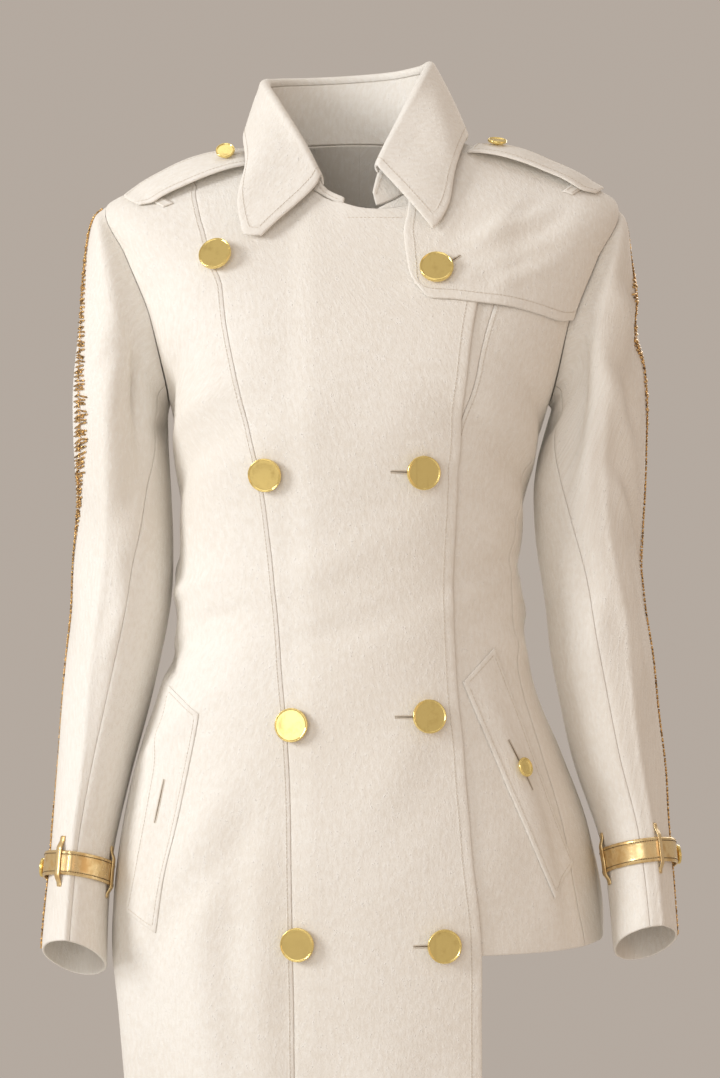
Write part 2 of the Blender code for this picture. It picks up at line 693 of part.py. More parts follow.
def add_collar_stand():
    """The stand: from the neckline up to the roll."""
    ends = ([STAND_FROM, -163], [164, STAND_TO])
    at = np.concatenate([ends[0], leaf_stops(), ends[1]])
    share = np.linspace(0, 1, STAND_ROWS + 1)[:, None, None]
    foot, roll, up, out = stand_frame(at)
    foot = foot + up * 1.1 * MM
    middle = foot[None] * (1 - share) + roll[None] * share
    half = out[None] * WALL / 2
    add_wall("collar_stand", (middle + half)[:, ::-1], (middle - half)[:, ::-1], SUEDE)


def leaf_surface(at, down, depth=0.0):
    """The collar leaf: down runs from 0 at the stand to ROLL_END after the roll, and 1 at the edge.

    depth is how far under the outside the points of the roll lie.
    """
    _, roll, up, out = stand_frame(at)
    turn, level = np.radians(collar_row("edge_turn", at)), collar_row("edge_level", at) * MM
    edge_normal = normals_of(body, turn, level)
    edge = body(turn, level) + edge_normal * (collar_row("edge_off", at) * MM)[..., None]
    radius = ROLL_RADIUS - depth
    start = roll - out * (WALL / 2 - depth) + up * 0.8 * MM
    rise = ROLL_RISE * (0.3 + 0.7 * ease(np.minimum(at - LEAF_FROM, LEAF_TO - at), 0, 40))[..., None]
    angle = np.clip((down - ROLL_START) / (ROLL_END - ROLL_START), 0, 1)[..., None] * math.pi
    climb = start + up * rise * np.clip(down / ROLL_START, 0, 1)[..., None]
    arc = climb + out * radius * (1 - np.cos(angle)) + up * radius * np.sin(angle)
    t = np.clip((down - ROLL_END) / (1 - ROLL_END), 0, 1)[..., None]
    last = start + up * rise + out * 2 * radius
    reach = np.linalg.norm(edge - last, axis=-1, keepdims=True)
    bend = last - up * reach * 0.22 + out * reach * 0.04
    level_in = edge + (last - edge) * 0.35 + edge_normal * 3 * MM
    fall = (1 - t) ** 3 * last + 3 * t * (1 - t) ** 2 * bend + 3 * t**2 * (1 - t) * level_in + t**3 * edge
    return np.where(t > 0, fall, arc)


def add_collar_leaf():
    """The leaf: from the stand's top over the roll and down to its edge."""
    at = leaf_stops()[None, :]
    arc = ROLL_START + (ROLL_END - ROLL_START) * np.array([0.0, 0.25, 0.5, 0.75, 1.0])
    fall = ROLL_END + (1 - ROLL_END) * np.array([0.2, 0.42, 0.7, 1.0])
    at, down = np.broadcast_arrays(at, np.concatenate([[0.0], arc, fall])[:, None])
    outer = leaf_surface(at, down)
    held = np.clip(down, ROLL_END + 0.01, 0.99)
    by_at = leaf_surface(at + 1, held) - leaf_surface(at - 1, held)
    by_down = leaf_surface(at, held + 0.01) - leaf_surface(at, held - 0.01)
    normal = np.cross(by_at, by_down)
    normal /= np.linalg.norm(normal, axis=-1, keepdims=True)
    rolled = (down < ROLL_END + 1e-6)[..., None]
    inner = np.where(rolled, leaf_surface(at, down, WALL), outer - normal * WALL)
    add_wall("collar_leaf", outer, inner, SUEDE)


# ---------------------------------------------------------------- shoulder straps


def strap_cut(strap, along, across):
    """(turn, level) on a shoulder strap: along runs from 0 at the shoulder to 1 at the neck, across in m."""
    turn = strap["side"] * math.radians(90 - strap["forward"])
    level = (strap["outer"] + (strap["inner"] - strap["outer"]) * along**0.8) * MM
    rate = np.linalg.norm(body_base(turn + 1e-3, level) - body_base(turn - 1e-3, level), axis=-1) / 2e-3
    return np.stack([turn + across / rate, level], -1)


def strap_offset(strap, cut, along):
    """How far the outside of a shoulder strap lies above the body: it arches between its ends."""
    arch = STRAP_ARCH * np.sin(math.pi * np.clip((along - 0.2) / 0.8, 0, 1)) ** 1.2
    below = flap_offset(body_base(cut[..., 0], cut[..., 1])) if strap["on"] else 0.0
    return below + 2 * REST + STRAP_WALL + arch


def strap_points(strap, along, across):
    """Outside of a shoulder strap."""
    cut = strap_cut(strap, along, across)
    turn, level = cut[..., 0], cut[..., 1]
    off = strap_offset(strap, cut, along)
    return body(turn, level) + normals_of(body, turn, level) * np.asarray(off)[..., None]


def add_shoulder_strap(side):
    """A shoulder strap, its loop and its button."""
    strap = STRAPS[side]
    along = np.linspace(0, 1, 11)[:, None]
    across = np.linspace(-0.5, 0.5, 5)[None, :] * STRAP_WIDTH
    along, across = np.broadcast_arrays(along, across * (1 - 0.1 * along))
    cut = strap_cut(strap, along, across)
    off = strap_offset(strap, cut, along)
    add_panel(f"epaulette_{side}", cut, body, {}, off, STRAP_WALL)
    stops = np.array([-1.26, -1.13, -1.04, -0.5, 0, 0.5, 1.04, 1.13, 1.26]) * STRAP_WIDTH / 2
    raised = np.array([0, 0, 1, 1, 1, 1, 1, 0, 0]) * (STRAP_WALL + REST + 0.4 * MM)
    run = LOOP_WIDTH / (110 * MM) / 2
    along, across = np.broadcast_arrays(np.array([[LOOP_AT - run], [LOOP_AT + run]]), stops[None, :])
    cut = strap_cut(strap, along, across)
    off = strap_offset(strap, cut, 0 * along) - STRAP_WALL + LOOP_WALL + raised[None, :]
    add_panel(f"epaulette_loop_{side}", cut, body, {}, off, LOOP_WALL)
    along = np.array(0.76 if side == "right" else 0.8)
    by_along = strap_points(strap, along + 0.01, 0.0) - strap_points(strap, along - 0.01, 0.0)
    by_across = strap_points(strap, along, 1 * MM) - strap_points(strap, along, -1 * MM)
    normal = np.cross(by_across, by_along)
    normal /= np.linalg.norm(normal)
    add_small_button(f"epaulette_button_{side}", strap_points(strap, along, 0.0) + normal * REST, normal)


# ---------------------------------------------------------------- buttons


def add_turned(name, origin, axis, profile, segments, slot):
    """A body turned round an axis: profile holds (radius, height) from the foot to the face."""
    axis = axis / np.linalg.norm(axis)
    side = np.cross(axis, [0.0, 0.0, 1.0])
    side /= np.linalg.norm(side)
    third = np.cross(axis, side)
    angle = np.arange(segments) * 2 * math.pi / segments
    circle = np.cos(angle)[:, None] * side + np.sin(angle)[:, None] * third
    points = [origin + axis * profile[0][1]]
    for radius, height in profile:
        points.extend(origin + axis * height + circle * radius)
    points.append(origin + axis * profile[-1][1])
    faces = []
    last = len(points) - 1
    for k in range(segments):
        following = (k + 1) % segments
        faces.append((0, 1 + following, 1 + k))
        for ring in range(len(profile) - 1):
            a, b = 1 + ring * segments, 1 + (ring + 1) * segments
            faces.append((a + k, a + following, b + following, b + k))
        top = 1 + (len(profile) - 1) * segments
        faces.append((top + k, top + following, last))
    add_object(name, points, faces, slot)


def add_button(name, place, surface, offset, size, segments, lean=(0.0, 0.0)):
    """A button on a shank: it stands just off the cloth, square to it but for its lean (level, up)."""
    turn, level = place
    origin = surface(turn, level)
    normal = normals_of(surface, turn, level)
    origin = origin + normal * (offset + 0.35 * MM)
    level_way = np.cross([0.0, 0.0, 1.0], normal)
    axis = normal + level_way * lean[0] + np.array([0, 0, 1.0]) * lean[1]
    radius, thick, stand = size["radius"], size["thick"], size["stand"]
    profile = (
        (radius * 0.26, 0),
        (radius * 0.26, stand),
        (radius * 0.94, stand + 0.2 * MM),
        (radius, stand + 0.8 * MM),
        (radius, stand + thick - 0.5 * MM),
        (radius - 0.7 * MM, stand + thick),
        (radius - 1.4 * MM, stand + thick - 0.6 * MM),
    )
    add_turned(name, origin, axis, profile, segments, GOLD_METAL)


def add_buttons():
    """The front buttons, from the top down, then those of the pocket and the cuffs."""
    for row, place in enumerate(locate(RIGHT_COLUMN), 1):
        lean = (-0.2, 0.0) if row == 1 else (0.0, 0.0)
        add_button(f"button_right_{row}", place, right_layer, 0.0, BIG_BUTTON, 20, lean)
    flap_place = locate([FLAP_BUTTON])[0]
    add_button("button_left_1", flap_place, body, 2 * LAYER, BIG_BUTTON, 20)
    for row, place in enumerate(locate(LEFT_COLUMN), 2):
        add_button(f"button_left_{row}", place, right_layer, 0.0, BIG_BUTTON, 20)
    add_button("pocket_button_left", locate([POCKET_BUTTON])[0], body, LAYER, SMALL_BUTTON, 16)


# ---------------------------------------------------------------- sleeves


def sleeve_base(side, around, ring):
    """Sleeve surface: around in degrees from the outside (90 is the front), ring 0 at the armhole."""
    around, ring = np.broadcast_arrays(np.asarray(around, float), np.asarray(ring, float))
    b = np.radians(around)
    sign = -1 if side == "right" else 1
    hole = armhole(sign, around)
    low = 2.4 * MM * ease(-np.cos(b), 0, 1)[..., None]
    rings = [body(hole[..., 0], hole[..., 1]) + normals_of(body, hole[..., 0], hole[..., 1]) * low]
    for outer_x, outer_z, inner_right, inner_left, inner_z, front_y, back_y, lift in SLEEVE_RINGS:
        inner_x = inner_right if side == "right" else inner_left
        x = (outer_x + inner_x) / 2 + (outer_x - inner_x) / 2 * np.cos(b)
        z = (outer_z + inner_z) / 2 + (outer_z - inner_z) / 2 * np.cos(b) + lift * np.sin(b)
        z = -57 + (z + 57) * SLEEVE_LENGTH[side]
        y = (front_y + back_y) / 2 - (back_y - front_y) / 2 * np.sin(b)
        rings.append(np.stack([sign * x, y, z], -1) * MM)
    rings = np.stack(rings)
    slopes = np.gradient(rings, axis=0)
    row = np.clip(ring.astype(int), 0, len(rings) - 2)
    t = (ring - row)[..., None]
    start, end, start_slope, end_slope = (
        np.take_along_axis(source, (row + step)[None, ..., None], 0)[0]
        for source, step in ((rings, 0), (rings, 1), (slopes, 0), (slopes, 1))
    )
    return (
        (2 * t**3 - 3 * t**2 + 1) * start
        + (t**3 - 2 * t**2 + t) * start_slope
        + (3 * t**2 - 2 * t**3) * end
        + (t**3 - t**2) * end_slope
    )


def sleeve(side, around, ring, off=0.0):
    """(points, normals) of a sleeve with its folds, moved out by off."""
    around, ring = np.broadcast_arrays(np.asarray(around, float), np.asarray(ring, float))
    sign = -1 if side == "right" else 1
    held = np.clip(ring, 0.02, len(SLEEVE_RINGS) - 0.02)
    by_round = sleeve_base(side, around + 0.5, held) - sleeve_base(side, around - 0.5, held)
    by_ring = sleeve_base(side, around, held + 0.01) - sleeve_base(side, around, held - 0.01)
    normal = np.cross(by_round, by_ring) * sign
    normal /= np.linalg.norm(normal, axis=-1, keepdims=True)
    height = forms_height(SLEEVE_FORMS[side], (around + 180) % 360 - 180, ring) * ease(ring, 0.2, 1.6)
    return sleeve_base(side, around, ring) + normal * (height + off)[..., None], normal


def add_sleeve_wall(name, side, around, ring, off, wall, sewn, slot):
    """A wall on the sleeve: rows run down the sleeve, columns round it."""
    outer, normal = sleeve(side, around, ring, off)
    inner = outer - normal * wall
    for border, mitre in sewn.items():
        outer = pull_in(outer, border, SEAM_GAP / 2)
        inner = pull_in(inner, border, SEAM_GAP / 2 + mitre)
    if side == "right":
        outer, inner = outer[:, ::-1], inner[:, ::-1]
    add_wall(name, outer, inner, slot)


def armhole_stations(side, around):
    """How far round the rows of the body meet the armhole, from the underarm up its front (1) or back (-1)."""
    b = around * np.linspace(180, 0, 90)
    path = np.concatenate([armhole(side, b), b[:, None]], -1)
    return resample(path, ARMHOLE_ROWS, on_body)[:, 2]


def add_sleeves():
    """Both sleeves, each of an upper and an under piece, whose columns meet the rows of the body."""
    rings = np.linspace(0, 1, SLEEVE_ROWS + 1) ** 1.1 * len(SLEEVE_RINGS)
    stations = np.arange(len(FRONT_SLEEVE_SEAM))
    front = through_rows(stations, np.array(FRONT_SLEEVE_SEAM, float), rings)[:, None]
    back = through_rows(stations, np.array(BACK_SLEEVE_SEAM, float), rings)[:, None]
    free = ease(rings, 0.0, 3.0)[:, None]
    for side, sign in (("right", -1), ("left", 1)):
        front_stops, back_stops = armhole_stations(sign, 1), armhole_stations(sign, -1)
        upper = np.concatenate([back_stops[BACK_SEAM_STOP:-1], front_stops[: FRONT_SEAM_STOP - 1 : -1]])
        under = np.concatenate([front_stops[FRONT_SEAM_STOP::-1], back_stops[1 : BACK_SEAM_STOP + 1] + 360])
        pieces = (("upper_sleeve", upper, back, front), ("under_sleeve", under, front, back + 360))
        for name, stops, start, end in pieces:
            share = np.linspace(0, 1, len(stops))[None, :]
            around = (1 - free) * stops[None, :] + free * ((1 - share) * start + share * end)
            ring = np.broadcast_to(rings[:, None], around.shape)
            sewn = {"left": 0, "right": 0, "bottom": 0.5 * MITRE}
            add_sleeve_wall(f"{name}_{side}", side, around, ring, 0.0, WALL, sewn, SUEDE)


def ring_per_metre(side):
    """How many rings of the sleeve's table a metre down the sleeve is, at the cuff strap."""
    step = sleeve_base(side, 90.0, CUFF_STRAP_RING + 0.2) - sleeve_base(side, 90.0, CUFF_STRAP_RING - 0.2)
    return 0.4 / np.linalg.norm(step)


def add_cuff_strap(side):
    """A cuff strap with its pointed end, its two keepers and its button."""
    scale = ring_per_metre(side)
    start, end = CUFF_STRAP_ROUND
    around = np.concatenate([[start, -31, -24], np.linspace(-14, end, 29)])[None, :]
    width = np.where(around < -22, 0.12 + 0.88 * (around - start) / 12, 1.0)
    width = np.minimum(width, 1.0)
    down = np.array([-0.5, 0.0, 0.5])[:, None] * CUFF_STRAP_WIDTH
    ring = CUFF_STRAP_RING + down * width * scale
    around, ring = np.broadcast_arrays(around, ring)
    low = CUFF_REST + CUFF_STRAP_WALL
    over = CUFF_STRAP_WALL + 0.7 * MM
    off = low + over * (1 - ease(around, 26, 56))
    add_sleeve_wall(f"cuff_strap_{side}", side, around, ring, off, CUFF_STRAP_WALL, {}, GOLD_LEATHER)
    for name, middle in zip(("outer", "inner"), CUFF_KEEPERS):
        half = np.degrees(KEEPER_WIDTH / 2 / (38 * MM))
        around = np.array([[middle - half, middle + half]])
        run = np.array([-1, -0.84, -0.58, 0, 0.58, 0.84, 1])[:, None] * KEEPER_LENGTH / 2
        raised = np.array([0, 0, 1, 1, 1, 0, 0])[:, None] * (low + 0.2 * MM)
        around, ring, raised = np.broadcast_arrays(around, CUFF_STRAP_RING + run * scale, raised)
        off = CUFF_REST + KEEPER_WALL + raised
        add_sleeve_wall(
            f"cuff_keeper_{name}_{side}", side, around, ring, off, KEEPER_WALL, {}, GOLD_LEATHER
        )
    origin, normal = sleeve(side, float(CUFF_BUTTON_ROUND), CUFF_STRAP_RING, low + over + 0.35 * MM)
    add_small_button(f"cuff_button_{side}", origin, normal)


def add_small_button(name, origin, normal):
    """A small button at a place on a strap."""
    radius, thick, stand = (SMALL_BUTTON[key] for key in ("radius", "thick", "stand"))
    profile = (
        (radius * 0.26, 0),
        (radius * 0.26, stand),
        (radius * 0.94, stand + 0.2 * MM),
        (radius, stand + thick - 0.5 * MM),
        (radius - 0.7 * MM, stand + thick),
    )
    add_turned(name, origin, normal, profile, 16, GOLD_METAL)


# ---------------------------------------------------------------- main


def clear_scene():
    """Removes what the file held before."""
    for old in list(bpy.data.objects):
        bpy.data.objects.remove(old, do_unlink=True)


def main():
    clear_scene()
    add_front_right()
    add_front_left()
    add_side_front("side_front_right", -1, right_layer)
    add_side_front("side_front_left", 1, body)
    add_back("back_right", -1)
    add_back("back_left", 1)
    add_collar_stand()
    add_collar_leaf()
    add_storm_flap()
    add_sleeves()
    add_buttons()
    for side in ("right", "left"):
        add_welt(side)
        add_shoulder_strap(side)
        add_cuff_strap(side)


main()
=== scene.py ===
"""A double-breasted trench coat in cream suede, built as cloth round a hollow wearer's form.

The long right front wraps over the short left one. A storm flap lies on the left shoulder, a turned-down
collar stands round the neck, and a band of short tube beads runs down the outside of each sleeve.

Units are metres, +Z is up, the front faces -Y and +X is the wearer's left. The body of the coat is one smooth
surface read at (turn, level): turn is the angle round the body, 0 at the centre front and +pi/2 on the left,
and level is the height of a section at the centre front. Every piece of cloth is a thin shell on that surface
or on a sleeve's, cut between its own seams.
"""

from __future__ import annotations

import logging
import math
from dataclasses import dataclass, field
from enum import Enum
from functools import cache
from typing import Callable, Sequence

import bmesh
import bpy
import numpy as np
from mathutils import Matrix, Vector

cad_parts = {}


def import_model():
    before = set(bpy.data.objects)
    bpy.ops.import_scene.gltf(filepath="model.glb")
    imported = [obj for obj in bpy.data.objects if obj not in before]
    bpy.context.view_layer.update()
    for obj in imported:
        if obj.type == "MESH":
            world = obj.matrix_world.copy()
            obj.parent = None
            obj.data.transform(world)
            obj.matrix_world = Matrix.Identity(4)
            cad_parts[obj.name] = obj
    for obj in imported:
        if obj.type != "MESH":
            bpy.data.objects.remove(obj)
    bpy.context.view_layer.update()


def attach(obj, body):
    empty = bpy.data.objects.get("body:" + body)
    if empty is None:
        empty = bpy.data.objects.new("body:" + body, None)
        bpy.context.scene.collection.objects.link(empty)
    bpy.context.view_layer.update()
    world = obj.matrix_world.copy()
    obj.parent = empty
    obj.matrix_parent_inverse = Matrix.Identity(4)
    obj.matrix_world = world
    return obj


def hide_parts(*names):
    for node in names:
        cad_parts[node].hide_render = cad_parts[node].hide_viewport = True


LOG = logging.getLogger("trench_coat")
MM = 0.001
UNEVEN = 0.16 * MM
THREAD_RISE = 0.1 * MM
BUTTON_REST = 0.35 * MM
SLIT_RISE, SLIT_DEPTH = 0.12 * MM, 0.3 * MM
Array = np.ndarray
Surface = Callable[[Array, Array], Array]
Piece, Material, Node = bpy.types.Object, bpy.types.Material, bpy.types.Node
Tree, Socket = bpy.types.NodeTree, bpy.types.NodeSocket


class Side(Enum):
    """Which side of the wearer a piece is on; the value is the sign of its X."""

    RIGHT = -1
    LEFT = 1

    @property
    def word(self) -> str:
        """The side's name as it stands in the names of the nodes."""
        return self.name.lower()


class Edge(Enum):
    """How a border of a piece of cloth is finished."""

    SEWN = "sewn"
    FREE = "free"


@dataclass(frozen=True)
class Fold:
    """A soft ridge or trough of cloth.

    turn and level place its middle (degrees and mm, or ring number on a sleeve), across and along are its
    reaches, lean is how far it moves across for one reach along, bow is the same for the square of it, height
    is in mm and steep narrows the side that lies at the greater turn.
    """

    turn: float
    level: float
    across: float
    along: float
    lean: float
    bow: float
    height: float
    steep: float = 1.0


def ease(value: Array, low: float, high: float) -> Array:
    """Rises smoothly from 0 at low to 1 at high: 3t^2 - 2t^3.

    Args:
        value: where it is read.
        low: where it leaves 0.
        high: where it reaches 1.

    Returns:
        The share, between 0 and 1.
    """
    t = np.clip((value - low) / (high - low), 0, 1)
    return t * t * (3 - 2 * t)


def hermite(t: Array, start: Array, end: Array, start_slope: Array, end_slope: Array) -> Array:
    """The cubic that runs from start to end as t goes from 0 to 1, with the slopes given for both.

    Args:
        t: where it is read.
        start: value at 0.
        end: value at 1.
        start_slope: slope at 0.
        end_slope: slope at 1.

    Returns:
        The values there.
    """
    return (
        (2 * t**3 - 3 * t**2 + 1) * start
        + (t**3 - 2 * t**2 + t) * start_slope
        + (3 * t**2 - 2 * t**3) * end
        + (t**3 - t**2) * end_slope
    )


def curve(stations: Sequence[float], values: Array, at: Array) -> Array:
    """Cubic Hermite curve through the rows of a table, whose slopes come from the neighbouring rows.

    Args:
        stations: where the rows lie, rising.
        values: one row for each station.
        at: where the curve is read.

    Returns:
        The values there.
    """
    stations = np.asarray(stations, float)
    values = np.asarray(values, float)
    slopes = np.gradient(values, stations, axis=0)
    at = np.clip(np.asarray(at, float), stations[0], stations[-1])
    row = np.clip(np.searchsorted(stations, at, side="right") - 1, 0, len(stations) - 2)
    step = stations[row + 1] - stations[row]
    t = (at - stations[row]) / step
    shape = t.shape + (1,) * (values.ndim - 1)
    t, step = t.reshape(shape), step.reshape(shape)
    return hermite(t, values[row], values[row + 1], slopes[row] * step, slopes[row + 1] * step)


def unit(vectors: Array) -> Array:
    """The vectors at length 1."""
    return vectors / np.maximum(np.linalg.norm(vectors, axis=-1, keepdims=True), 1e-12)


def fold_height(folds: Sequence[Fold], turn: Array, level: Array) -> Array:
    """Sum of folds: each is height * exp(-(s^2 + u^2) / 2), with s across it and u along it.

    Args:
        folds: the ridges and troughs.
        turn: angle in degrees.
        level: height in mm, or ring number.

    Returns:
        How far the cloth moves out, in metres.
    """
    total = np.zeros(np.broadcast(turn, level).shape)
    for fold in folds:
        up = (level - fold.level) / fold.along
        side = (turn - fold.turn - fold.lean * up - fold.bow * up * up) / fold.across
        side = np.where(side > 0, side * fold.steep, side)
        total = total + fold.height * MM * np.exp(-0.5 * (side**2 + up**2))
    return total


def unevenness(points: Array, size: float) -> Array:
    """Slow unevenness of hanging cloth: a sum of five sines of the place, each in its own direction.

    Args:
        points: places on the cloth.
        size: height of each sine, in metres.

    Returns:
        How far the cloth moves out.
    """
    waves = np.array(
        [(61, 17, 23, 0.4), (-33, 49, 31, 1.7), (21, -67, 47, 2.9), (89, 35, -53, 4.1), (-71, -29, 77, 5.3)]
    )
    phase = points @ waves[:, :3].T + waves[:, 3]
    return size * np.sin(phase).sum(-1)


def arc_length(path: Array) -> Array:
    """Distance along a path from its first point, for each of its points."""
    return np.concatenate([[0.0], np.cumsum(np.linalg.norm(np.diff(path, axis=0), axis=-1))])


def between_rows(at: Array, stations: Array, rows: Array) -> Array:
    """The rows of a table, read at places between its stations by straight lines."""
    return np.stack([np.interp(at, stations, rows[:, k]) for k in range(rows.shape[1])], -1)


def resample(path: Array, shares: Array, measure: Callable[[Array], Array] | None = None) -> Array:
    """Points at given shares of a path's length.

    Args:
        path: points of any dimension.
        shares: from 0 to 1.
        measure: turns the path's points into those whose distances count.

    Returns:
        One point for each share.
    """
    path = np.asarray(path, float)
    run = arc_length(path if measure is None else measure(path))
    return between_rows(shares * run[-1], run, path)


def straight(start: Sequence[float], end: Sequence[float], count: int = 24) -> Array:
    """Evenly spaced points from start to end."""
    share = np.linspace(0, 1, count)[:, None]
    return (1 - share) * np.asarray(start, float) + share * np.asarray(end, float)


def stops(length: float, count: int, at_start: bool = True, at_end: bool = True) -> Array:
    """Shares along a piece, even but for closer ones by each border that needs them.

    Args:
        length: length of the piece in metres.
        count: how many even steps lie between.
        at_start: whether closer steps lie by the start.
        at_end: whether closer steps lie by the end.

    Returns:
        Rising shares from 0 to 1.
    """
    near = np.array([0, 0.7, 1.6, 3.0, 5.0]) * MM / length
    first = near if at_start else near[:1]
    last = 1 - near[::-1] if at_end else np.array([1.0])
    middle = np.linspace(first[-1], last[0], count + 1)[1:-1]
    return np.concatenate([first, middle, last])


def coons(bottom: Array, top: Array, left: Array, right: Array, across: Array, up: Array) -> Array:
    """Coons patch: the sum of the two ruled surfaces between opposite borders, less the one of the corners.

    Args:
        bottom: border that runs across, first row.
        top: border that runs across, last row.
        left: border that runs up, first column.
        right: border that runs up, last column.
        across: shares at which bottom and top are given.
        up: shares at which left and right are given.

    Returns:
        Grid of points.
    """
    across, up = across[None, :, None], up[:, None, None]
    sides = (1 - across) * left[:, None] + across * right[:, None]
    ends = (1 - up) * bottom[None] + up * top[None]
    corners = (
        (1 - across) * (1 - up) * bottom[0]
        + across * (1 - up) * bottom[-1]
        + (1 - across) * up * top[0]
        + across * up * top[-1]
    )
    return sides + ends - corners


# ---------------------------------------------------------------- meshes


def mesh_object(name: str, points: Array, faces: Array) -> Piece:
    """Makes an object of four-sided faces.

    Args:
        name: its name.
        points: its points, in place.
        faces: four indices a face.

    Returns:
        The object, smooth, at the origin.
    """
    mesh = bpy.data.meshes.new(name)
    mesh.vertices.add(len(points))
    mesh.vertices.foreach_set("co", np.ascontiguousarray(points, np.float32).ravel())
    mesh.loops.add(faces.size)
    mesh.loops.foreach_set("vertex_index", np.ascontiguousarray(faces, np.int32).ravel())
    mesh.polygons.add(len(faces))
    mesh.polygons.foreach_set("loop_start", np.arange(len(faces), dtype=np.int32) * faces.shape[1])
    mesh.polygons.foreach_set("use_smooth", np.ones(len(faces), bool))
    mesh.update(calc_edges=True)
    mesh.validate()
    made = bpy.data.objects.new(name, mesh)
    bpy.context.scene.collection.objects.link(made)
    return made


def grid_faces(rows: int, columns: int, first: int = 0, around: bool = False) -> Array:
    """Faces of a grid of points, row by row, facing the side on which columns x rows points.

    Args:
        rows: rows of points.
        columns: columns of points.
        first: index of its first point.
        around: whether the last column meets the first.

    Returns:
        Four indices a face.
    """
    across = columns if around else columns - 1
    row, column = np.meshgrid(np.arange(rows - 1), np.arange(across), indexing="ij")
    following = (column + 1) % columns
    corners = (row * columns + column, row * columns + following, (row + 1) * columns + following)
    return np.stack([*corners, (row + 1) * columns + column], -1).reshape(-1, 4) + first


def border_loop(rows: int, columns: int) -> Array:
    """Indices of a grid's border, once round against the clock."""
    index = np.arange(rows * columns).reshape(rows, columns)
    return np.concatenate([index[0], index[1:, -1], index[-1, -2::-1], index[-2:0:-1, 0]])


def inside_loop(rows: int, columns: int) -> Array:
    """The next point towards the inside, for each point of border_loop.

    Args:
        rows: rows of points.
        columns: columns of points.

    Returns:
        Their indices.
    """
    index = np.arange(rows * columns).reshape(rows, columns)
    held = np.pad(index[1:-1, 1:-1], 1, mode="edge").reshape(-1)
    return held[border_loop(rows, columns)]


def closed_shell(name: str, outer: Array, inner: Array, round_off: float) -> Piece:
    """A closed wall of cloth between two grids, with a rounded rim.

    The rim runs from the outer border through a row that lies half way and round_off further out, to the
    inner border.

    Args:
        name: name of the piece.
        outer: grid of its outside.
        inner: grid of its inside.
        round_off: how far the rim bulges.

    Returns:
        The object.
    """
    rows, columns = outer.shape[:2]
    loop, inside = border_loop(rows, columns), inside_loop(rows, columns)
    out, inn = outer.reshape(-1, 3), inner.reshape(-1, 3)
    way = unit(out[loop] - out[inside])
    rim = (out[loop] + inn[loop]) / 2 + way * round_off
    count, edge = rows * columns, len(loop)
    following = np.roll(np.arange(edge), -1)
    middle = 2 * count + np.arange(edge)
    upper = np.stack([loop[following], loop, middle, middle[following]], -1)
    lower = np.stack([middle[following], middle, count + loop, count + loop[following]], -1)
    front, back = grid_faces(rows, columns), grid_faces(rows, columns, count)[:, ::-1]
    faces = np.concatenate([front, back, upper, lower])
    return mesh_object(name, np.concatenate([out, inn, rim]), faces)


def set_float(obj: Piece, name: str, values: Array) -> None:
    """Stores one number a point under a name."""
    attribute = obj.data.attributes.new(name, "FLOAT", "POINT")
    attribute.data.foreach_set("value", np.ascontiguousarray(values, np.float32).ravel())


def set_uv(obj: Piece, uv: Array) -> None:
    """Stores a cloth UV map.

    Args:
        obj: the object.
        uv: one pair a point, in metres.
    """
    layer = obj.data.uv_layers.new(name="cloth")
    index = np.empty(len(obj.data.loops), np.int32)
    obj.data.loops.foreach_get("vertex_index", index)
    layer.data.foreach_set("uv", np.ascontiguousarray(uv[index], np.float32).ravel())


def tubes(name: str, starts: Array, ends: Array, radius: float, sides: int, swell: float = 0.0) -> Piece:
    """Many short closed tubes: rings of points round each line, drawn in at both ends.

    Args:
        name: name of the piece.
        starts: where each tube starts.
        ends: where each ends.
        radius: radius in the middle.
        sides: sides of a tube.
        swell: how much thinner the ends are, as a share.

    Returns:
        One object that holds them all.
    """
    axis = ends - starts
    length = np.linalg.norm(axis, axis=-1, keepdims=True)
    way = axis / length
    helper = np.where(np.abs(way[:, 2:]) < 0.9, np.array([[0.0, 0, 1]]), np.array([[1.0, 0, 0]]))
    first = unit(np.cross(way, helper))
    second = np.cross(way, first)
    angle = np.arange(sides) * 2 * math.pi / sides
    circle = np.cos(angle)[None, :, None] * first[:, None] + np.sin(angle)[None, :, None] * second[:, None]
    rows = ((0.0, 0.45), (0.06, 1 - swell), (0.5, 1.0), (0.94, 1 - swell), (1.0, 0.45))
    rings = [starts[:, None] + axis[:, None] * along + circle * radius * wide for along, wide in rows]
    points = np.stack(rings, 1)
    count, each = len(starts), len(rows) * sides
    wall = grid_faces(len(rows), sides, 0, True)
    half = sides // 2
    low = np.array([[k + 1, k, sides - 1 - k, sides - 2 - k] for k in range(half - 1)])
    high = (low + (len(rows) - 1) * sides)[:, ::-1]
    block = np.concatenate([wall, low, high])
    faces = (block[None] + (np.arange(count) * each)[:, None, None]).reshape(-1, 4)
    return mesh_object(name, points.reshape(-1, 3), faces)


def turned(profile: Array, origin: Array, axis: Array, segments: int) -> tuple[Array, Array]:
    """A profile of (radius, height) turned round an axis; radius 0 at its ends closes it.

    Args:
        profile: rows of radius and height.
        origin: foot of the axis.
        axis: its direction.
        segments: points round it.

    Returns:
        Points and four-sided faces.
    """
    axis = unit(np.asarray(axis, float))
    side = unit(np.cross(axis, [0.0, 0.0, 1.0]))
    third = np.cross(axis, side)
    angle = np.arange(segments) * 2 * math.pi / segments
    circle = np.cos(angle)[:, None] * side + np.sin(angle)[:, None] * third
    points = origin + profile[:, 1][:, None, None] * axis + profile[:, 0][:, None, None] * circle
    return points.reshape(-1, 3), grid_faces(len(profile), segments, 0, True)


# ---------------------------------------------------------------- finishes


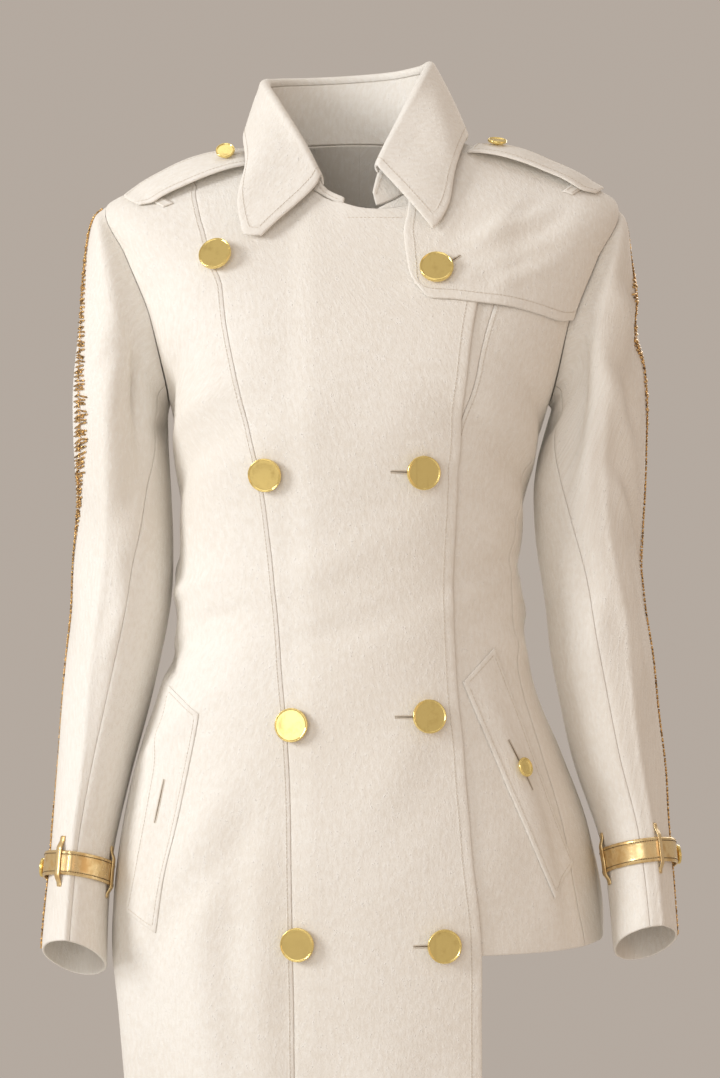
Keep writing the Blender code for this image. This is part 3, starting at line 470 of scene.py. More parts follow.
def new_material(name: str) -> tuple[Material, Tree, Node]:
    """An empty material with its Principled shader.

    Args:
        name: the material's name.

    Returns:
        The material, its node tree and its shader.
    """
    material = bpy.data.materials.new(name)
    material.use_nodes = True
    tree = material.node_tree
    return material, tree, tree.nodes["Principled BSDF"]


def fill(tree: Tree, node: Node, **inputs: object) -> Node:
    """Sets or links the inputs of a node.

    Args:
        tree: the node's tree.
        node: the node.
        inputs: values or output sockets, by the input's name with _ for a space, or by i and its number.

    Returns:
        The node.
    """
    for key, value in inputs.items():
        socket = node.inputs[int(key[1:]) if key[1:].isdigit() else key.replace("_", " ")]
        if isinstance(value, Socket):
            tree.links.new(value, socket)
        else:
            socket.default_value = value
    return node


def add_node(tree: Tree, kind: str, settings: dict | None = None, **inputs: object) -> Node:
    """Adds a node.

    Args:
        tree: the tree it joins.
        kind: the node's type.
        settings: attributes of the node.
        inputs: as for fill.

    Returns:
        The node.
    """
    node = tree.nodes.new(kind)
    for key, value in (settings or {}).items():
        setattr(node, key, value)
    return fill(tree, node, **inputs)


def maths(tree: Tree, operation: str, first: object, second: object = 0.0) -> Socket:
    """The output of a Math node."""
    return add_node(tree, "ShaderNodeMath", {"operation": operation}, i0=first, i1=second).outputs[0]


def weighed(tree: Tree, *parts: tuple[Socket, float]) -> Socket:
    """The sum of sockets, each times its weight.

    Args:
        tree: the tree the nodes join.
        parts: sockets and their weights.

    Returns:
        The output of the last node.
    """
    total, *others = [maths(tree, "MULTIPLY", socket, weight) for socket, weight in parts]
    for term in others:
        total = maths(tree, "ADD", total, term)
    return total


def spread(tree: Tree, value: object, low: float, high: float, to_low: float, to_high: float) -> Socket:
    """The output of a smooth Map Range node.

    Args:
        tree: the tree it joins.
        value: what it maps.
        low: the value that gives to_low.
        high: the value that gives to_high.
        to_low: the result at low.
        to_high: the result at high.

    Returns:
        The output.
    """
    ends = {"From_Min": low, "From_Max": high, "To_Min": to_low, "To_Max": to_high}
    smooth = {"interpolation_type": "SMOOTHSTEP"}
    return add_node(tree, "ShaderNodeMapRange", smooth, Value=value, **ends).outputs[0]


def blend_colour(tree: Tree, share: object, first: object, second: object) -> Socket:
    """The output of a colour Mix node: first at share 0, second at share 1."""
    first, second = (colour if isinstance(colour, Socket) else (*colour, 1) for colour in (first, second))
    return add_node(tree, "ShaderNodeMix", {"data_type": "RGBA"}, i0=share, i6=first, i7=second).outputs[2]


def object_place(tree: Tree) -> Socket:
    """The object's own coordinates."""
    return add_node(tree, "ShaderNodeTexCoord").outputs["Object"]


def noise(tree: Tree, place: Socket, scale: object, detail: float = 2.0, rough: float = 0.5) -> Socket:
    """The output of a Noise Texture node."""
    inputs = {"Scale": scale, "Detail": detail, "Roughness": rough}
    return add_node(tree, "ShaderNodeTexNoise", Vector=place, **inputs).outputs[0]


def pebbles(tree: Tree, place: Socket, scale: float) -> Socket:
    """The distance to the nearest cell's middle, from a Voronoi Texture node."""
    node = add_node(tree, "ShaderNodeTexVoronoi", {"feature": "F1"}, Vector=place, Scale=scale)
    return node.outputs["Distance"]


def bump(tree: Tree, strength: float, distance: float, height: Socket, **below: Socket) -> Socket:
    """The output of a Bump node, on the Normal below if one is given."""
    node = add_node(tree, "ShaderNodeBump", Strength=strength, Distance=distance, Height=height, **below)
    return node.outputs[0]


def group_outputs(tree: Tree, group: Tree, **inputs: object) -> bpy.types.bpy_prop_collection:
    """The outputs of a new node that stands for a group."""
    return add_node(tree, "ShaderNodeGroup", {"node_tree": group}, **inputs).outputs


def new_group(name: str, inputs: dict[str, float], outputs: Sequence[str]) -> Tree:
    """A shader node group whose inputs and outputs are all floats.

    Args:
        name: the group's name.
        inputs: input names and their usual values.
        outputs: output names.

    Returns:
        The group's tree, with its Group Input and Group Output nodes.
    """
    tree = bpy.data.node_groups.new(name, "ShaderNodeTree")
    for key, value in inputs.items():
        tree.interface.new_socket(key, in_out="INPUT", socket_type="NodeSocketFloat").default_value = value
    for key in outputs:
        tree.interface.new_socket(key, in_out="OUTPUT", socket_type="NodeSocketFloat")
    tree.nodes.new("NodeGroupInput")
    tree.nodes.new("NodeGroupOutput")
    return tree


def put_out(tree: Tree, *sockets: Socket) -> Tree:
    """Links sockets to a group's outputs in turn.

    Args:
        tree: the group's tree.
        sockets: what it puts out.

    Returns:
        The same tree.
    """
    for socket, target in zip(sockets, tree.nodes["Group Output"].inputs):
        tree.links.new(socket, target)
    return tree


@cache
def nap_group() -> Tree:
    """The suede's nap: fine grain, slubs along the cloth, slow patches and flecks.

    Returns:
        A group that puts out its height, its tone and its flecks.
    """
    scales = {"Grain Scale": 620.0, "Slub Scale": 300.0, "Patch Scale": 8.0}
    tree = new_group("suede nap", scales, ("Height", "Tone", "Fleck"))
    grain_scale, slub_scale, patch_scale = tree.nodes["Group Input"].outputs[:3]
    place = object_place(tree)
    cloth = add_node(tree, "ShaderNodeUVMap", {"uv_map": "cloth"}).outputs[0]
    drawn = add_node(tree, "ShaderNodeMapping", Vector=cloth, Scale=(1.0, 0.45, 1.0))
    grain = noise(tree, place, grain_scale, 3.0, 0.65)
    slub = noise(tree, drawn.outputs[0], slub_scale, 3.0, 0.6)
    patch = noise(tree, place, patch_scale, 3.0)
    fleck = spread(tree, pebbles(tree, place, 520.0), 0.12, 0.34, 1.0, 0.0)
    fleck = maths(tree, "MULTIPLY", fleck, spread(tree, slub, 0.52, 0.66, 0.0, 1.0))
    height = weighed(tree, (grain, 0.45), (slub, 0.6), (fleck, 0.5))
    return put_out(tree, height, weighed(tree, (patch, 0.4), (slub, 0.6)), fleck)


@cache
def seam_group() -> Tree:
    """The grooves of the stitch lines and seams, from the distances that the cloth holds.

    Returns:
        A group that puts out their height and a mask of them, along which the finishes paint shade.
    """
    tree = new_group("stitch groove", {"Width": 0.00025, "Depth": 1.0}, ("Height", "GrooveShade"))
    width, depth = tree.nodes["Group Input"].outputs[:2]
    stitch, seam = (
        add_node(tree, "ShaderNodeAttribute", {"attribute_name": name}).outputs["Fac"]
        for name in ("stitch", "seam")
    )
    away = maths(tree, "DIVIDE", maths(tree, "ABSOLUTE", stitch), width)
    beside = maths(tree, "DIVIDE", seam, width)
    # the grooves' mask, which also marks where shade is painted
    groove = maths(tree, "MULTIPLY", spread(tree, away, 0.2, 1.8, 1.0, 0.0), 0.5)
    groove = maths(tree, "MAXIMUM", groove, spread(tree, beside, 0.3, 1.7, 1.0, 0.0))
    swell = maths(tree, "MULTIPLY", spread(tree, away, 1.2, 5.0, 1.0, 0.0), 0.3)
    height = maths(tree, "MULTIPLY", maths(tree, "SUBTRACT", swell, groove), depth)
    return put_out(tree, height, groove)


@cache
def scratch_group() -> Tree:
    """Fine scratches and slow blotches on polished metal.

    Returns:
        A group that puts out fine scratches and slow blotches; the blotches are smudges on the buttons and
        painted dark reflections on the beads.
    """
    tree = new_group("polish wear", {"Scale": 260.0, "Smudge Scale": 95.0}, ("Scratch", "Smudge"))
    scale, smudge_scale = tree.nodes["Group Input"].outputs[:2]
    place = object_place(tree)
    lines = []
    for angle in (0.5, 1.35, 2.4):
        way = {"Rotation": (0.2, angle, 0.1), "Scale": (1.0, 1.0, 0.035)}
        drawn = add_node(tree, "ShaderNodeMapping", Vector=place, **way).outputs[0]
        lines.append(spread(tree, noise(tree, drawn, scale), 0.62, 0.7, 0.0, 1.0))
    scratch = maths(tree, "MAXIMUM", maths(tree, "MAXIMUM", lines[0], lines[1]), lines[2])
    return put_out(tree, scratch, noise(tree, place, smudge_scale, 4.0, 0.6))


Colour = tuple[float, float, float]


@dataclass(frozen=True)
class Finish:
    """What a piece is made of: its material's name, the slot that it fills and how its nodes are joined."""

    name: str
    slot: str

    def join(self, tree: Tree, shader: Node) -> None:
        """Adds the finish's nodes to its material's tree."""
        raise NotImplementedError

    def material(self) -> Material:
        """Makes the material when it is first asked for.

        Returns:
            The material.
        """
        found = bpy.data.materials.get(self.name)
        if found:
            return found
        material, tree, shader = new_material(self.name)
        self.join(tree, shader)
        return material


@dataclass(frozen=True)
class Suede(Finish):
    """Cream suede-finish cloth: matt, with a short nap, light slubs and a groove along its stitch lines,
    where shade is painted into its colour.
    """

    name: str = "cream suede"
    slot: str = "suede_cream"
    light: Colour = (0.865, 0.842, 0.795)
    shade: Colour = (0.80, 0.76, 0.695)
    bright: Colour = (0.93, 0.915, 0.88)
    # painted shade: this brown is mixed into the colour along the grooves of the seams and stitch lines
    seam: Colour = (0.40, 0.28, 0.17)
    sheen: Colour = (1.0, 0.95, 0.88)
    roughness: float = 0.86
    fleck_roughness: float = 0.62

    def join(self, tree: Tree, shader: Node) -> None:
        """Mixes the tones of the nap, then its flecks, then painted shade along the grooves of the seams and
        stitch lines.

        Args:
            tree: the material's tree.
            shader: its shader.
        """
        nap, seam = group_outputs(tree, nap_group()), group_outputs(tree, seam_group())
        colour = blend_colour(tree, spread(tree, nap["Tone"], 0.36, 0.66, 0.0, 1.0), self.shade, self.light)
        colour = blend_colour(tree, maths(tree, "MULTIPLY", nap["Fleck"], 0.5), colour, self.bright)
        # painted shade along the seam and stitch grooves
        colour = blend_colour(tree, maths(tree, "MULTIPLY", seam["GrooveShade"], 0.22), colour, self.seam)
        normal = bump(tree, 0.7, 0.0005, seam["Height"], Normal=bump(tree, 0.7, 0.0011, nap["Height"]))
        rough = spread(tree, nap["Fleck"], 0.0, 1.0, self.roughness, self.fleck_roughness)
        fill(tree, shader, Base_Color=colour, Normal=normal, Roughness=rough, Specular_IOR_Level=0.25)
        fill(tree, shader, Sheen_Weight=0.2, Sheen_Roughness=0.5, Sheen_Tint=(*self.sheen, 1))


@dataclass(frozen=True)
class Thread(Finish):
    """Sewing thread: a plain soft colour with a faint twist."""

    name: str = "cream thread"
    slot: str = "suede_cream"
    colour: Colour = (0.80, 0.72, 0.61)
    dark_share: float = 0.72

    def join(self, tree: Tree, shader: Node) -> None:
        """Mixes the colour with a darker one.

        Args:
            tree: the material's tree.
            shader: its shader.
        """
        dark = tuple(self.dark_share * part for part in self.colour)
        colour = blend_colour(tree, noise(tree, object_place(tree), 1500.0), dark, self.colour)
        fill(tree, shader, Base_Color=colour, Roughness=0.7)


@dataclass(frozen=True)
class GoldLeather(Finish):
    """Metallic gold leather: a satin foil over a fine grain, duller where it is rubbed."""

    name: str = "gold leather"
    slot: str = "gold_leather"
    bright: Colour = (0.88, 0.68, 0.36)
    rubbed: Colour = (0.72, 0.50, 0.22)
    # painted shade: this brown is mixed into the colour along the stitch grooves
    seam: Colour = (0.3, 0.17, 0.05)

    def join(self, tree: Tree, shader: Node) -> None:
        """Mixes bright and rubbed foil, then painted shade along the grooves of the seams and stitch lines.

        Args:
            tree: the material's tree.
            shader: its shader.
        """
        seam, place = group_outputs(tree, seam_group()), object_place(tree)
        patch = noise(tree, place, 120.0, 4.0)
        colour = blend_colour(tree, spread(tree, patch, 0.42, 0.66, 0.0, 1.0), self.bright, self.rubbed)
        # painted shade along the stitch grooves
        colour = blend_colour(tree, maths(tree, "MULTIPLY", seam["GrooveShade"], 0.6), colour, self.seam)
        height = maths(tree, "ADD", maths(tree, "MULTIPLY", pebbles(tree, place, 900.0), 0.25), patch)
        normal = bump(tree, 0.7, 0.0007, seam["Height"], Normal=bump(tree, 0.3, 0.0005, height))
        rough = spread(tree, patch, 0.35, 0.7, 0.27, 0.45)
        fill(tree, shader, Base_Color=colour, Normal=normal, Roughness=rough, Metallic=0.85)


@dataclass(frozen=True)
class PolishedGold(Finish):
    """Polished gold-coloured metal with fine scratches and darker blotches: smudges on the buttons, painted
    dark reflections on the beads.
    """

    name: str = "polished gold"
    slot: str = "gold_metal"
    colour: Colour = (0.90, 0.71, 0.27)
    # the blotches' colour: smudged gold on the buttons, near black on the beads, where it is painted dark
    # reflection
    dull_and_dark_reflection: Colour = (0.56, 0.41, 0.13)
    smooth: float = 0.07
    rough: float = 0.22
    smudge_scale: float = 95.0
    metallic: float = 0.74
    smear_and_reflection_from: float = 0.5
    smear_and_reflection_most: float = 0.55
    scratch_share: float = 0.18

    def join(self, tree: Tree, shader: Node) -> None:
        """Mixes clear metal with the darker colour of its blotches and scratches; the blotches are smudges on
        the buttons and painted dark reflections on the beads.

        Args:
            tree: the material's tree.
            shader: its shader.
        """
        wear_and_reflection = group_outputs(tree, scratch_group(), Smudge_Scale=self.smudge_scale)
        # share of the blotches: smudges on the buttons, painted dark reflections on the beads
        share = spread(tree, wear_and_reflection["Smudge"], self.smear_and_reflection_from, self.smear_and_reflection_from + 0.25, 0.0, self.smear_and_reflection_most)
        share = maths(tree, "MAXIMUM", share, maths(tree, "MULTIPLY", wear_and_reflection["Scratch"], self.scratch_share))
        colour = blend_colour(tree, share, self.colour, self.dull_and_dark_reflection)
        rough = spread(tree, wear_and_reflection["Smudge"], 0.35, 0.7, self.smooth, self.rough)
        normal = bump(tree, 0.05, 0.0001, wear_and_reflection["Scratch"])
        fill(tree, shader, Base_Color=colour, Normal=normal, Roughness=rough, Metallic=self.metallic)


@dataclass(frozen=True)
class ShadeOfSlit(Finish):
    """The dark depth seen between the lips of a buttonhole."""

    name: str = "slit depth"
    slot: str = "suede_cream"
    deep: Colour = (0.10, 0.065, 0.035)
    lip: Colour = (0.22, 0.15, 0.09)

    def join(self, tree: Tree, shader: Node) -> None:
        """Mixes the two browns."""
        colour = blend_colour(tree, noise(tree, object_place(tree), 700.0), self.deep, self.lip)
        fill(tree, shader, Base_Color=colour, Roughness=0.95)


SUEDE = Suede()
THREAD = Thread()
GOLD_THREAD = Thread("gold thread", "gold_leather", (0.16, 0.10, 0.05))
GOLD_LEATHER = GoldLeather()
GOLD_METAL = PolishedGold()
# The beads' blotches are near black and cover up to 95% of the gold: painted dark reflections.
BEAD_GOLD = PolishedGold(
    "bead gold", "gold_metal", (0.92, 0.60, 0.24), (0.09, 0.04, 0.012), smooth=0.15, rough=0.35,
    smudge_scale=330.0, metallic=0.82, smear_and_reflection_from=0.42, smear_and_reflection_most=0.95,
)
SLIT = ShadeOfSlit()


def dress(piece: Piece, finish: Finish, *nodes: str) -> Piece:
    """Gives a piece its finish, ties it to the coat and reports it.

    Args:
        piece: the object.
        finish: one of the finishes above.
        nodes: CAD nodes that it stands for.

    Returns:
        The same piece.
    """
    piece.data.materials.clear()
    piece.data.materials.append(finish.material())
    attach(piece, "root")
    if nodes:
        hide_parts(*nodes)
    LOG.info("%s: %d faces", piece.name, len(piece.data.polygons))
    return piece


# ---------------------------------------------------------------- the body's form


@dataclass
class BodyForm:
    """The smooth surface of the coat's body, with its folds."""

    long_hem: float = -930 * MM
    short_hem: float = -628 * MM
    armpit: float = -205 * MM
    shoulder_point: float = -105 * MM
    shoulder_joint: float = -75 * MM
    neckline: float = -55 * MM
    armhole_reach: float = 26.0
    layer: float = 2.8 * MM
    # levels between which the unevenness fades towards the neck
    quiet_from: tuple[float, float] = (-110 * MM, -75 * MM)
    # level, half widths right and left, depths before and behind, heights of side and back, squareness
    sections: tuple = (
        (-930, 174, 174, 116, 116, -930, -930, 0.05),
        (-742, 182, 182, 117, 120, -742, -742, 0.05),
        (-680, 189, 189, 118, 122, -680, -680, 0.05),
        (-630, 194, 194, 119, 122, -630, -630, 0.05),
        (-594, 194, 191, 119, 121, -594, -594, 0.05),
        (-535, 187, 181, 117, 117, -535, -535, 0.05),
        (-479, 175, 160, 113, 106, -479, -479, 0.05),
        (-424, 158, 138, 109, 92, -424, -424, 0.05),
        (-380, 148, 131, 106, 83, -380, -380, 0.05),
        (-340, 144, 129, 105, 80, -340, -340, 0.05),
        (-300, 144, 131, 107, 84, -300, -300, 0.05),
        (-250, 147, 137, 112, 90, -250, -250, 0.05),
        (-205, 150, 149, 114, 94, -203, -203, 0.05),
        (-165, 172, 172, 111, 98, -135, -155, 0.05),
        (-130, 194, 194, 103, 96, -80, -105, 0.05),
        (-105, 202, 202, 93, 88, -45, -65, 0.04),
        (-88, 168, 168, 86, 79, -28, -42, 0.03),
        (-72, 122, 122, 79, 69, -11, -16, 0.02),
        (-55, 76, 76, 71, 55, 4, 12, 0.0),
    )
    folds: tuple[Fold, ...] = (
        Fold(-38, -205, 24, 48, 0, 0, 8), Fold(38, -205, 24, 48, 0, 0, 8),
        Fold(-52, -640, 7, 130, 4, 0, -5), Fold(-34, -760, 8, 170, -3, 0, 5),
        Fold(-12, -800, 9, 150, 0, 0, -4), Fold(-78, -780, 9, 160, 0, 0, 5),
        Fold(-104, -720, 9, 150, 0, 0, -5), Fold(-128, -760, 10, 170, 0, 0, 5),
        Fold(-152, -740, 9, 160, 0, 0, -5), Fold(62, -560, 7, 60, -5, 0, -4),
        Fold(112, -560, 9, 70, 0, 0, -4), Fold(146, -570, 9, 70, 0, 0, 4),
        Fold(-66, -395, 14, 12, 14, 0, -4), Fold(-150, -350, 26, 14, 8, 0, -4),
        Fold(150, -350, 26, 14, -8, 0, -4), Fold(58, -250, 9, 30, -22, 0, -4),
        Fold(-62, -255, 9, 26, 20, 0, -3),
    )
    fold_share: float = 1.35
    crease_share: float = 2.6
    creases: tuple[Fold, ...] = (
        Fold(-30, -620, 3.2, 70, 1, 1, -1.6), Fold(-22, -640, 3.6, 90, -1, 0, 1.2),
        Fold(-46, -560, 4.0, 42, 9, 0, 1.3), Fold(-40, -585, 3.4, 36, 9, 0, -1.2),
        Fold(-58, -460, 5.0, 22, 10, 0, 1.4), Fold(-50, -372, 9.0, 7, 7, 0, -1.5),
        Fold(-72, -352, 10.0, 8, 12, 0, 1.6), Fold(-76, -412, 9.0, 8, -9, 0, -1.7),
        Fold(-10, -330, 8.0, 16, 9, 0, 0.9), Fold(-4, -380, 9.0, 12, 10, 0, -0.9),
        Fold(8, -500, 5.0, 34, 6, 0, 0.8), Fold(44, -350, 7.0, 11, 8, 0, 1.4),
        Fold(56, -330, 9.0, 9, 9, 0, -1.6), Fold(60, -392, 8.0, 10, -9, 0, 1.5),
        Fold(46, -515, 3.2, 58, -2, 0, 1.6), Fold(52, -560, 3.0, 50, -2, 0, -1.4),
        Fold(50, -225, 6.0, 18, -15, 2, 1.6), Fold(60, -205, 5.0, 14, -12, 0, -1.8),
        Fold(48, -278, 6.0, 18, -17, 0, -1.2), Fold(-56, -214, 6.0, 16, 14, 0, 1.4),
        Fold(-66, -196, 4.6, 12, 9, 0, -1.7), Fold(-50, -140, 5.0, 16, 8, 0, -0.9),
        Fold(34, -112, 4.5, 10, 14, 0, 0.9), Fold(44, -104, 4.0, 9, 14, 0, -0.8),
        # the sides and the back, which repeat them in other sizes
        Fold(88, -330, 9.0, 10, 8, 0, -1.6), Fold(96, -372, 8.0, 9, -8, 0, 1.5),
        Fold(-94, -336, 9.0, 10, -8, 0, 1.6), Fold(-98, -388, 9.0, 9, 8, 0, -1.6),
        Fold(116, -250, 7.0, 26, 9, 0, -2.0), Fold(128, -190, 5.0, 34, 6, 1, 2.2),
        Fold(-118, -244, 7.0, 28, -9, 0, -2.2), Fold(-130, -186, 5.0, 36, -6, -1, 2.0),
        Fold(160, -310, 14.0, 9, 7, 0, 1.7), Fold(172, -372, 16.0, 9, 9, 0, -1.8),
        Fold(-166, -322, 14.0, 8, -7, 0, 1.5), Fold(-160, -400, 13.0, 9, 8, 0, -1.7),
        Fold(134, -430, 9.0, 12, 8, 0, 1.5), Fold(-138, -446, 9.0, 13, -8, 0, -1.4),
        Fold(166, -520, 5.0, 60, 2, 0, -2.0), Fold(-170, -600, 5.5, 100, -2, 0, 2.2),
        Fold(-140, -860, 5.0, 60, 1, 0, -2.2), Fold(-92, -880, 4.5, 52, -1, 0, 2.0),
        Fold(-62, -850, 4.0, 66, 1, 0, -1.8), Fold(-44, -880, 4.0, 48, 0, 0, 1.6),
        Fold(-2, -860, 4.5, 60, 0, 0, 1.4), Fold(14, -840, 4.0, 70, 1, 0, -1.3),
        Fold(96, -590, 4.0, 32, 0, 0, 1.8), Fold(128, -596, 4.4, 30, 1, 0, 1.6),
    )

    def section(self, level: Array) -> Array:
        """The table's columns after the first, in mm, read at a level."""
        table = np.array(self.sections, float)
        return curve(table[:, 0] * MM, table[:, 1:], level)

    def base(self, turn: Array, level: Array) -> Array:
        """Sections that are ellipses squared by 1 + q sin^2(2 turn), tilted near the shoulders.

        Args:
            turn: angle in radians.
            level: height at the centre front.

        Returns:
            Points of the surface without folds.
        """
        turn, level = np.broadcast_arrays(np.asarray(turn, float), np.asarray(level, float))
        section = self.section(level)
        right, left, front, back, side_z, back_z = (section[..., k] * MM for k in range(6))
        square = 1 + section[..., 6] * np.sin(2 * turn) ** 2
        across, ahead = np.sin(turn), np.cos(turn)
        x = np.where(across < 0, right, left) * across * square
        y = -np.where(ahead < 0, back, front) * ahead * square
        end_z = np.where(ahead < 0, back_z, level)
        return np.stack([x, y, side_z + (end_z - side_z) * ahead**2], -1)

    def normals(self, surface: Surface, turn: Array, level: Array) -> Array:
        """Outward normals: the cross product of the surface's differences round and up.

        Args:
            surface: a function of turn and level.
            turn: angle in radians.
            level: height at the centre front.

        Returns:
            Unit vectors.
        """
        level = np.clip(level, self.long_hem + MM, self.neckline - MM)
        round_way = surface(turn + 1e-3, level) - surface(turn - 1e-3, level)
        up_way = surface(turn, level + 2e-4) - surface(turn, level - 2e-4)
        return unit(np.cross(round_way, up_way))

    def skin(self, turn: Array, level: Array) -> Array:
        """The surface with its folds: each point moves along the base's normal by the folds' sum.

        Args:
            turn: angle in radians.
            level: height at the centre front.

        Returns:
            Points of the cloth's outside.
        """
        turn, level = np.broadcast_arrays(np.asarray(turn, float), np.asarray(level, float))
        degrees = (np.degrees(turn) + 180) % 360 - 180
        base = self.base(turn, level)
        quiet = 1 - 0.75 * ease(level, *self.quiet_from)
        height = self.fold_share * fold_height(self.folds, degrees, level / MM)
        height = height + self.crease_share * fold_height(self.creases, degrees, level / MM)
        height = height + unevenness(base, UNEVEN) * quiet
        return base + self.normals(self.base, turn, level) * height[..., None]

    def over(self, turn: Array, level: Array) -> Array:
        """The skin where the long right front lies on the left one: it rises by a layer past the centre.

        Args:
            turn: angle in radians.
            level: height at the centre front.

        Returns:
            Points of the cloth's outside.
        """
        points = self.skin(turn, level)
        rise = self.layer * ease(points[..., 0] / MM, -58, -34) * (np.cos(turn) > 0)
        return points + self.normals(self.skin, turn, level) * rise[..., None]

    def raised(self, surface: Surface, cut: Array, rise: Array | float = 0.0) -> tuple[Array, Array]:
        """A surface of the body, moved out along its normals.

        Args:
            surface: a function of turn and level.
            cut: turns and levels.
            rise: how far out, in metres.

        Returns:
            Points and normals.
        """
        normals = self.normals(surface, cut[..., 0], cut[..., 1])
        return surface(cut[..., 0], cut[..., 1]) + normals * np.asarray(rise)[..., None], normals

    def locate(self, places: Sequence[Sequence[float]]) -> Array:
        """(turn, level) of places on the front, found by halving the range of levels.

        Args:
            places: rows of distance from the centre and height, in mm.

        Returns:
            Rows of turn and level.
        """
        wanted = np.asarray(places, float) * MM
        x, z = wanted[:, 0], wanted[:, 1]
        low, high = np.full(x.shape, self.long_hem), np.full(x.shape, self.neckline)
        for _ in range(40):
            level = (low + high) / 2
            section = self.section(level)
            half = np.where(x < 0, section[:, 0], section[:, 1]) * MM
            turn = np.arcsin(np.clip(x / half, -1, 1))
            for _ in range(8):
                square = 1 + section[:, 6] * np.sin(2 * turn) ** 2
                turn = np.arcsin(np.clip(x / half / square, -1, 1))
            below = (self.base(turn, level)[:, 2] < z) & ((np.abs(x) < half) | (level < self.armpit))
            low, high = np.where(below, level, low), np.where(below, high, level)
        return np.stack([turn, level], -1)

    def place_of(self, points: Array, side: int) -> Array:
        """(turn, level) of points near the body: the level whose section passes through each of them.

        Args:
            points: places in space.
            side: sign of X of the half that they are on, or 0.

        Returns:
            Turn and level of each.
        """
        x, y, z = points[..., 0], points[..., 1], points[..., 2]
        low, high = np.full(x.shape, self.long_hem), np.full(x.shape, self.neckline)
        sign = np.where(x < 0, -1.0, 1.0) if side == 0 else side
        for _ in range(36):
            level = (low + high) / 2
            section = self.section(level) * MM
            half = np.where(sign < 0, section[..., 0], section[..., 1])
            depth = np.where(y > 0, section[..., 3], section[..., 2])
            turn = sign * np.arctan2(np.maximum(sign * x, 0) / half, -y / depth)
            below = self.base(turn, level)[..., 2] < z
            low, high = np.where(below, level, low), np.where(below, high, level)
        return np.stack([turn, level], -1)

    def on(self, path: Array) -> Array:
        """The points of the base at the turns and levels of a path."""
        return self.base(path[..., 0], path[..., 1])

    def armhole(self, sign: float, around: Array, clear: float = 0.0) -> Array:
        """The armhole's loop: turn = pi/2 - reach sin(b), level = middle + half height cos(b).

        Args:
            sign: -1 for the right, 1 for the left.
            around: b in degrees, 0 at the shoulder point and 90 at the front.
            clear: how far inside the seam it is read.

        Returns:
            Rows of turn and level.
        """
        b = np.radians(np.asarray(around, float))
        top = self.shoulder_point + 0.5 * clear
        middle = (top + self.armpit) / 2
        reach = math.radians(self.armhole_reach) + clear / (150 * MM)
        turn = sign * (math.pi / 2 - reach * np.sin(b))
        return np.stack([turn, middle + (top - middle) * np.cos(b)], -1)

    def patch(self, borders: Sequence[Array], across: Array, up: Array, side: int) -> Array:
        """Grid of (turn, level) between four paths, evened out in space.

        Args:
            borders: bottom, top, left and right.
            across: shares of the columns.
            up: shares of the rows.
            side: sign of X, or 0.

        Returns:
            Grid of turn and level.
        """
        bottom, top, left, right = borders
        cut = self.place_of(coons(*(self.on(path) for path in borders), across, up), side)
        cut[0], cut[-1], cut[:, 0], cut[:, -1] = bottom, top, left, right
        return cut


FORM = BodyForm()


# ---------------------------------------------------------------- cloth pieces


ALL_FREE = dict.fromkeys(("left", "right", "bottom", "top"), Edge.FREE)


def sewn_at(*borders: str) -> dict[str, Edge]:
    """The finish of the four borders, of which those named are sewn."""
    return dict.fromkeys(borders, Edge.SEWN) | {key: Edge.FREE for key in ALL_FREE if key not in borders}


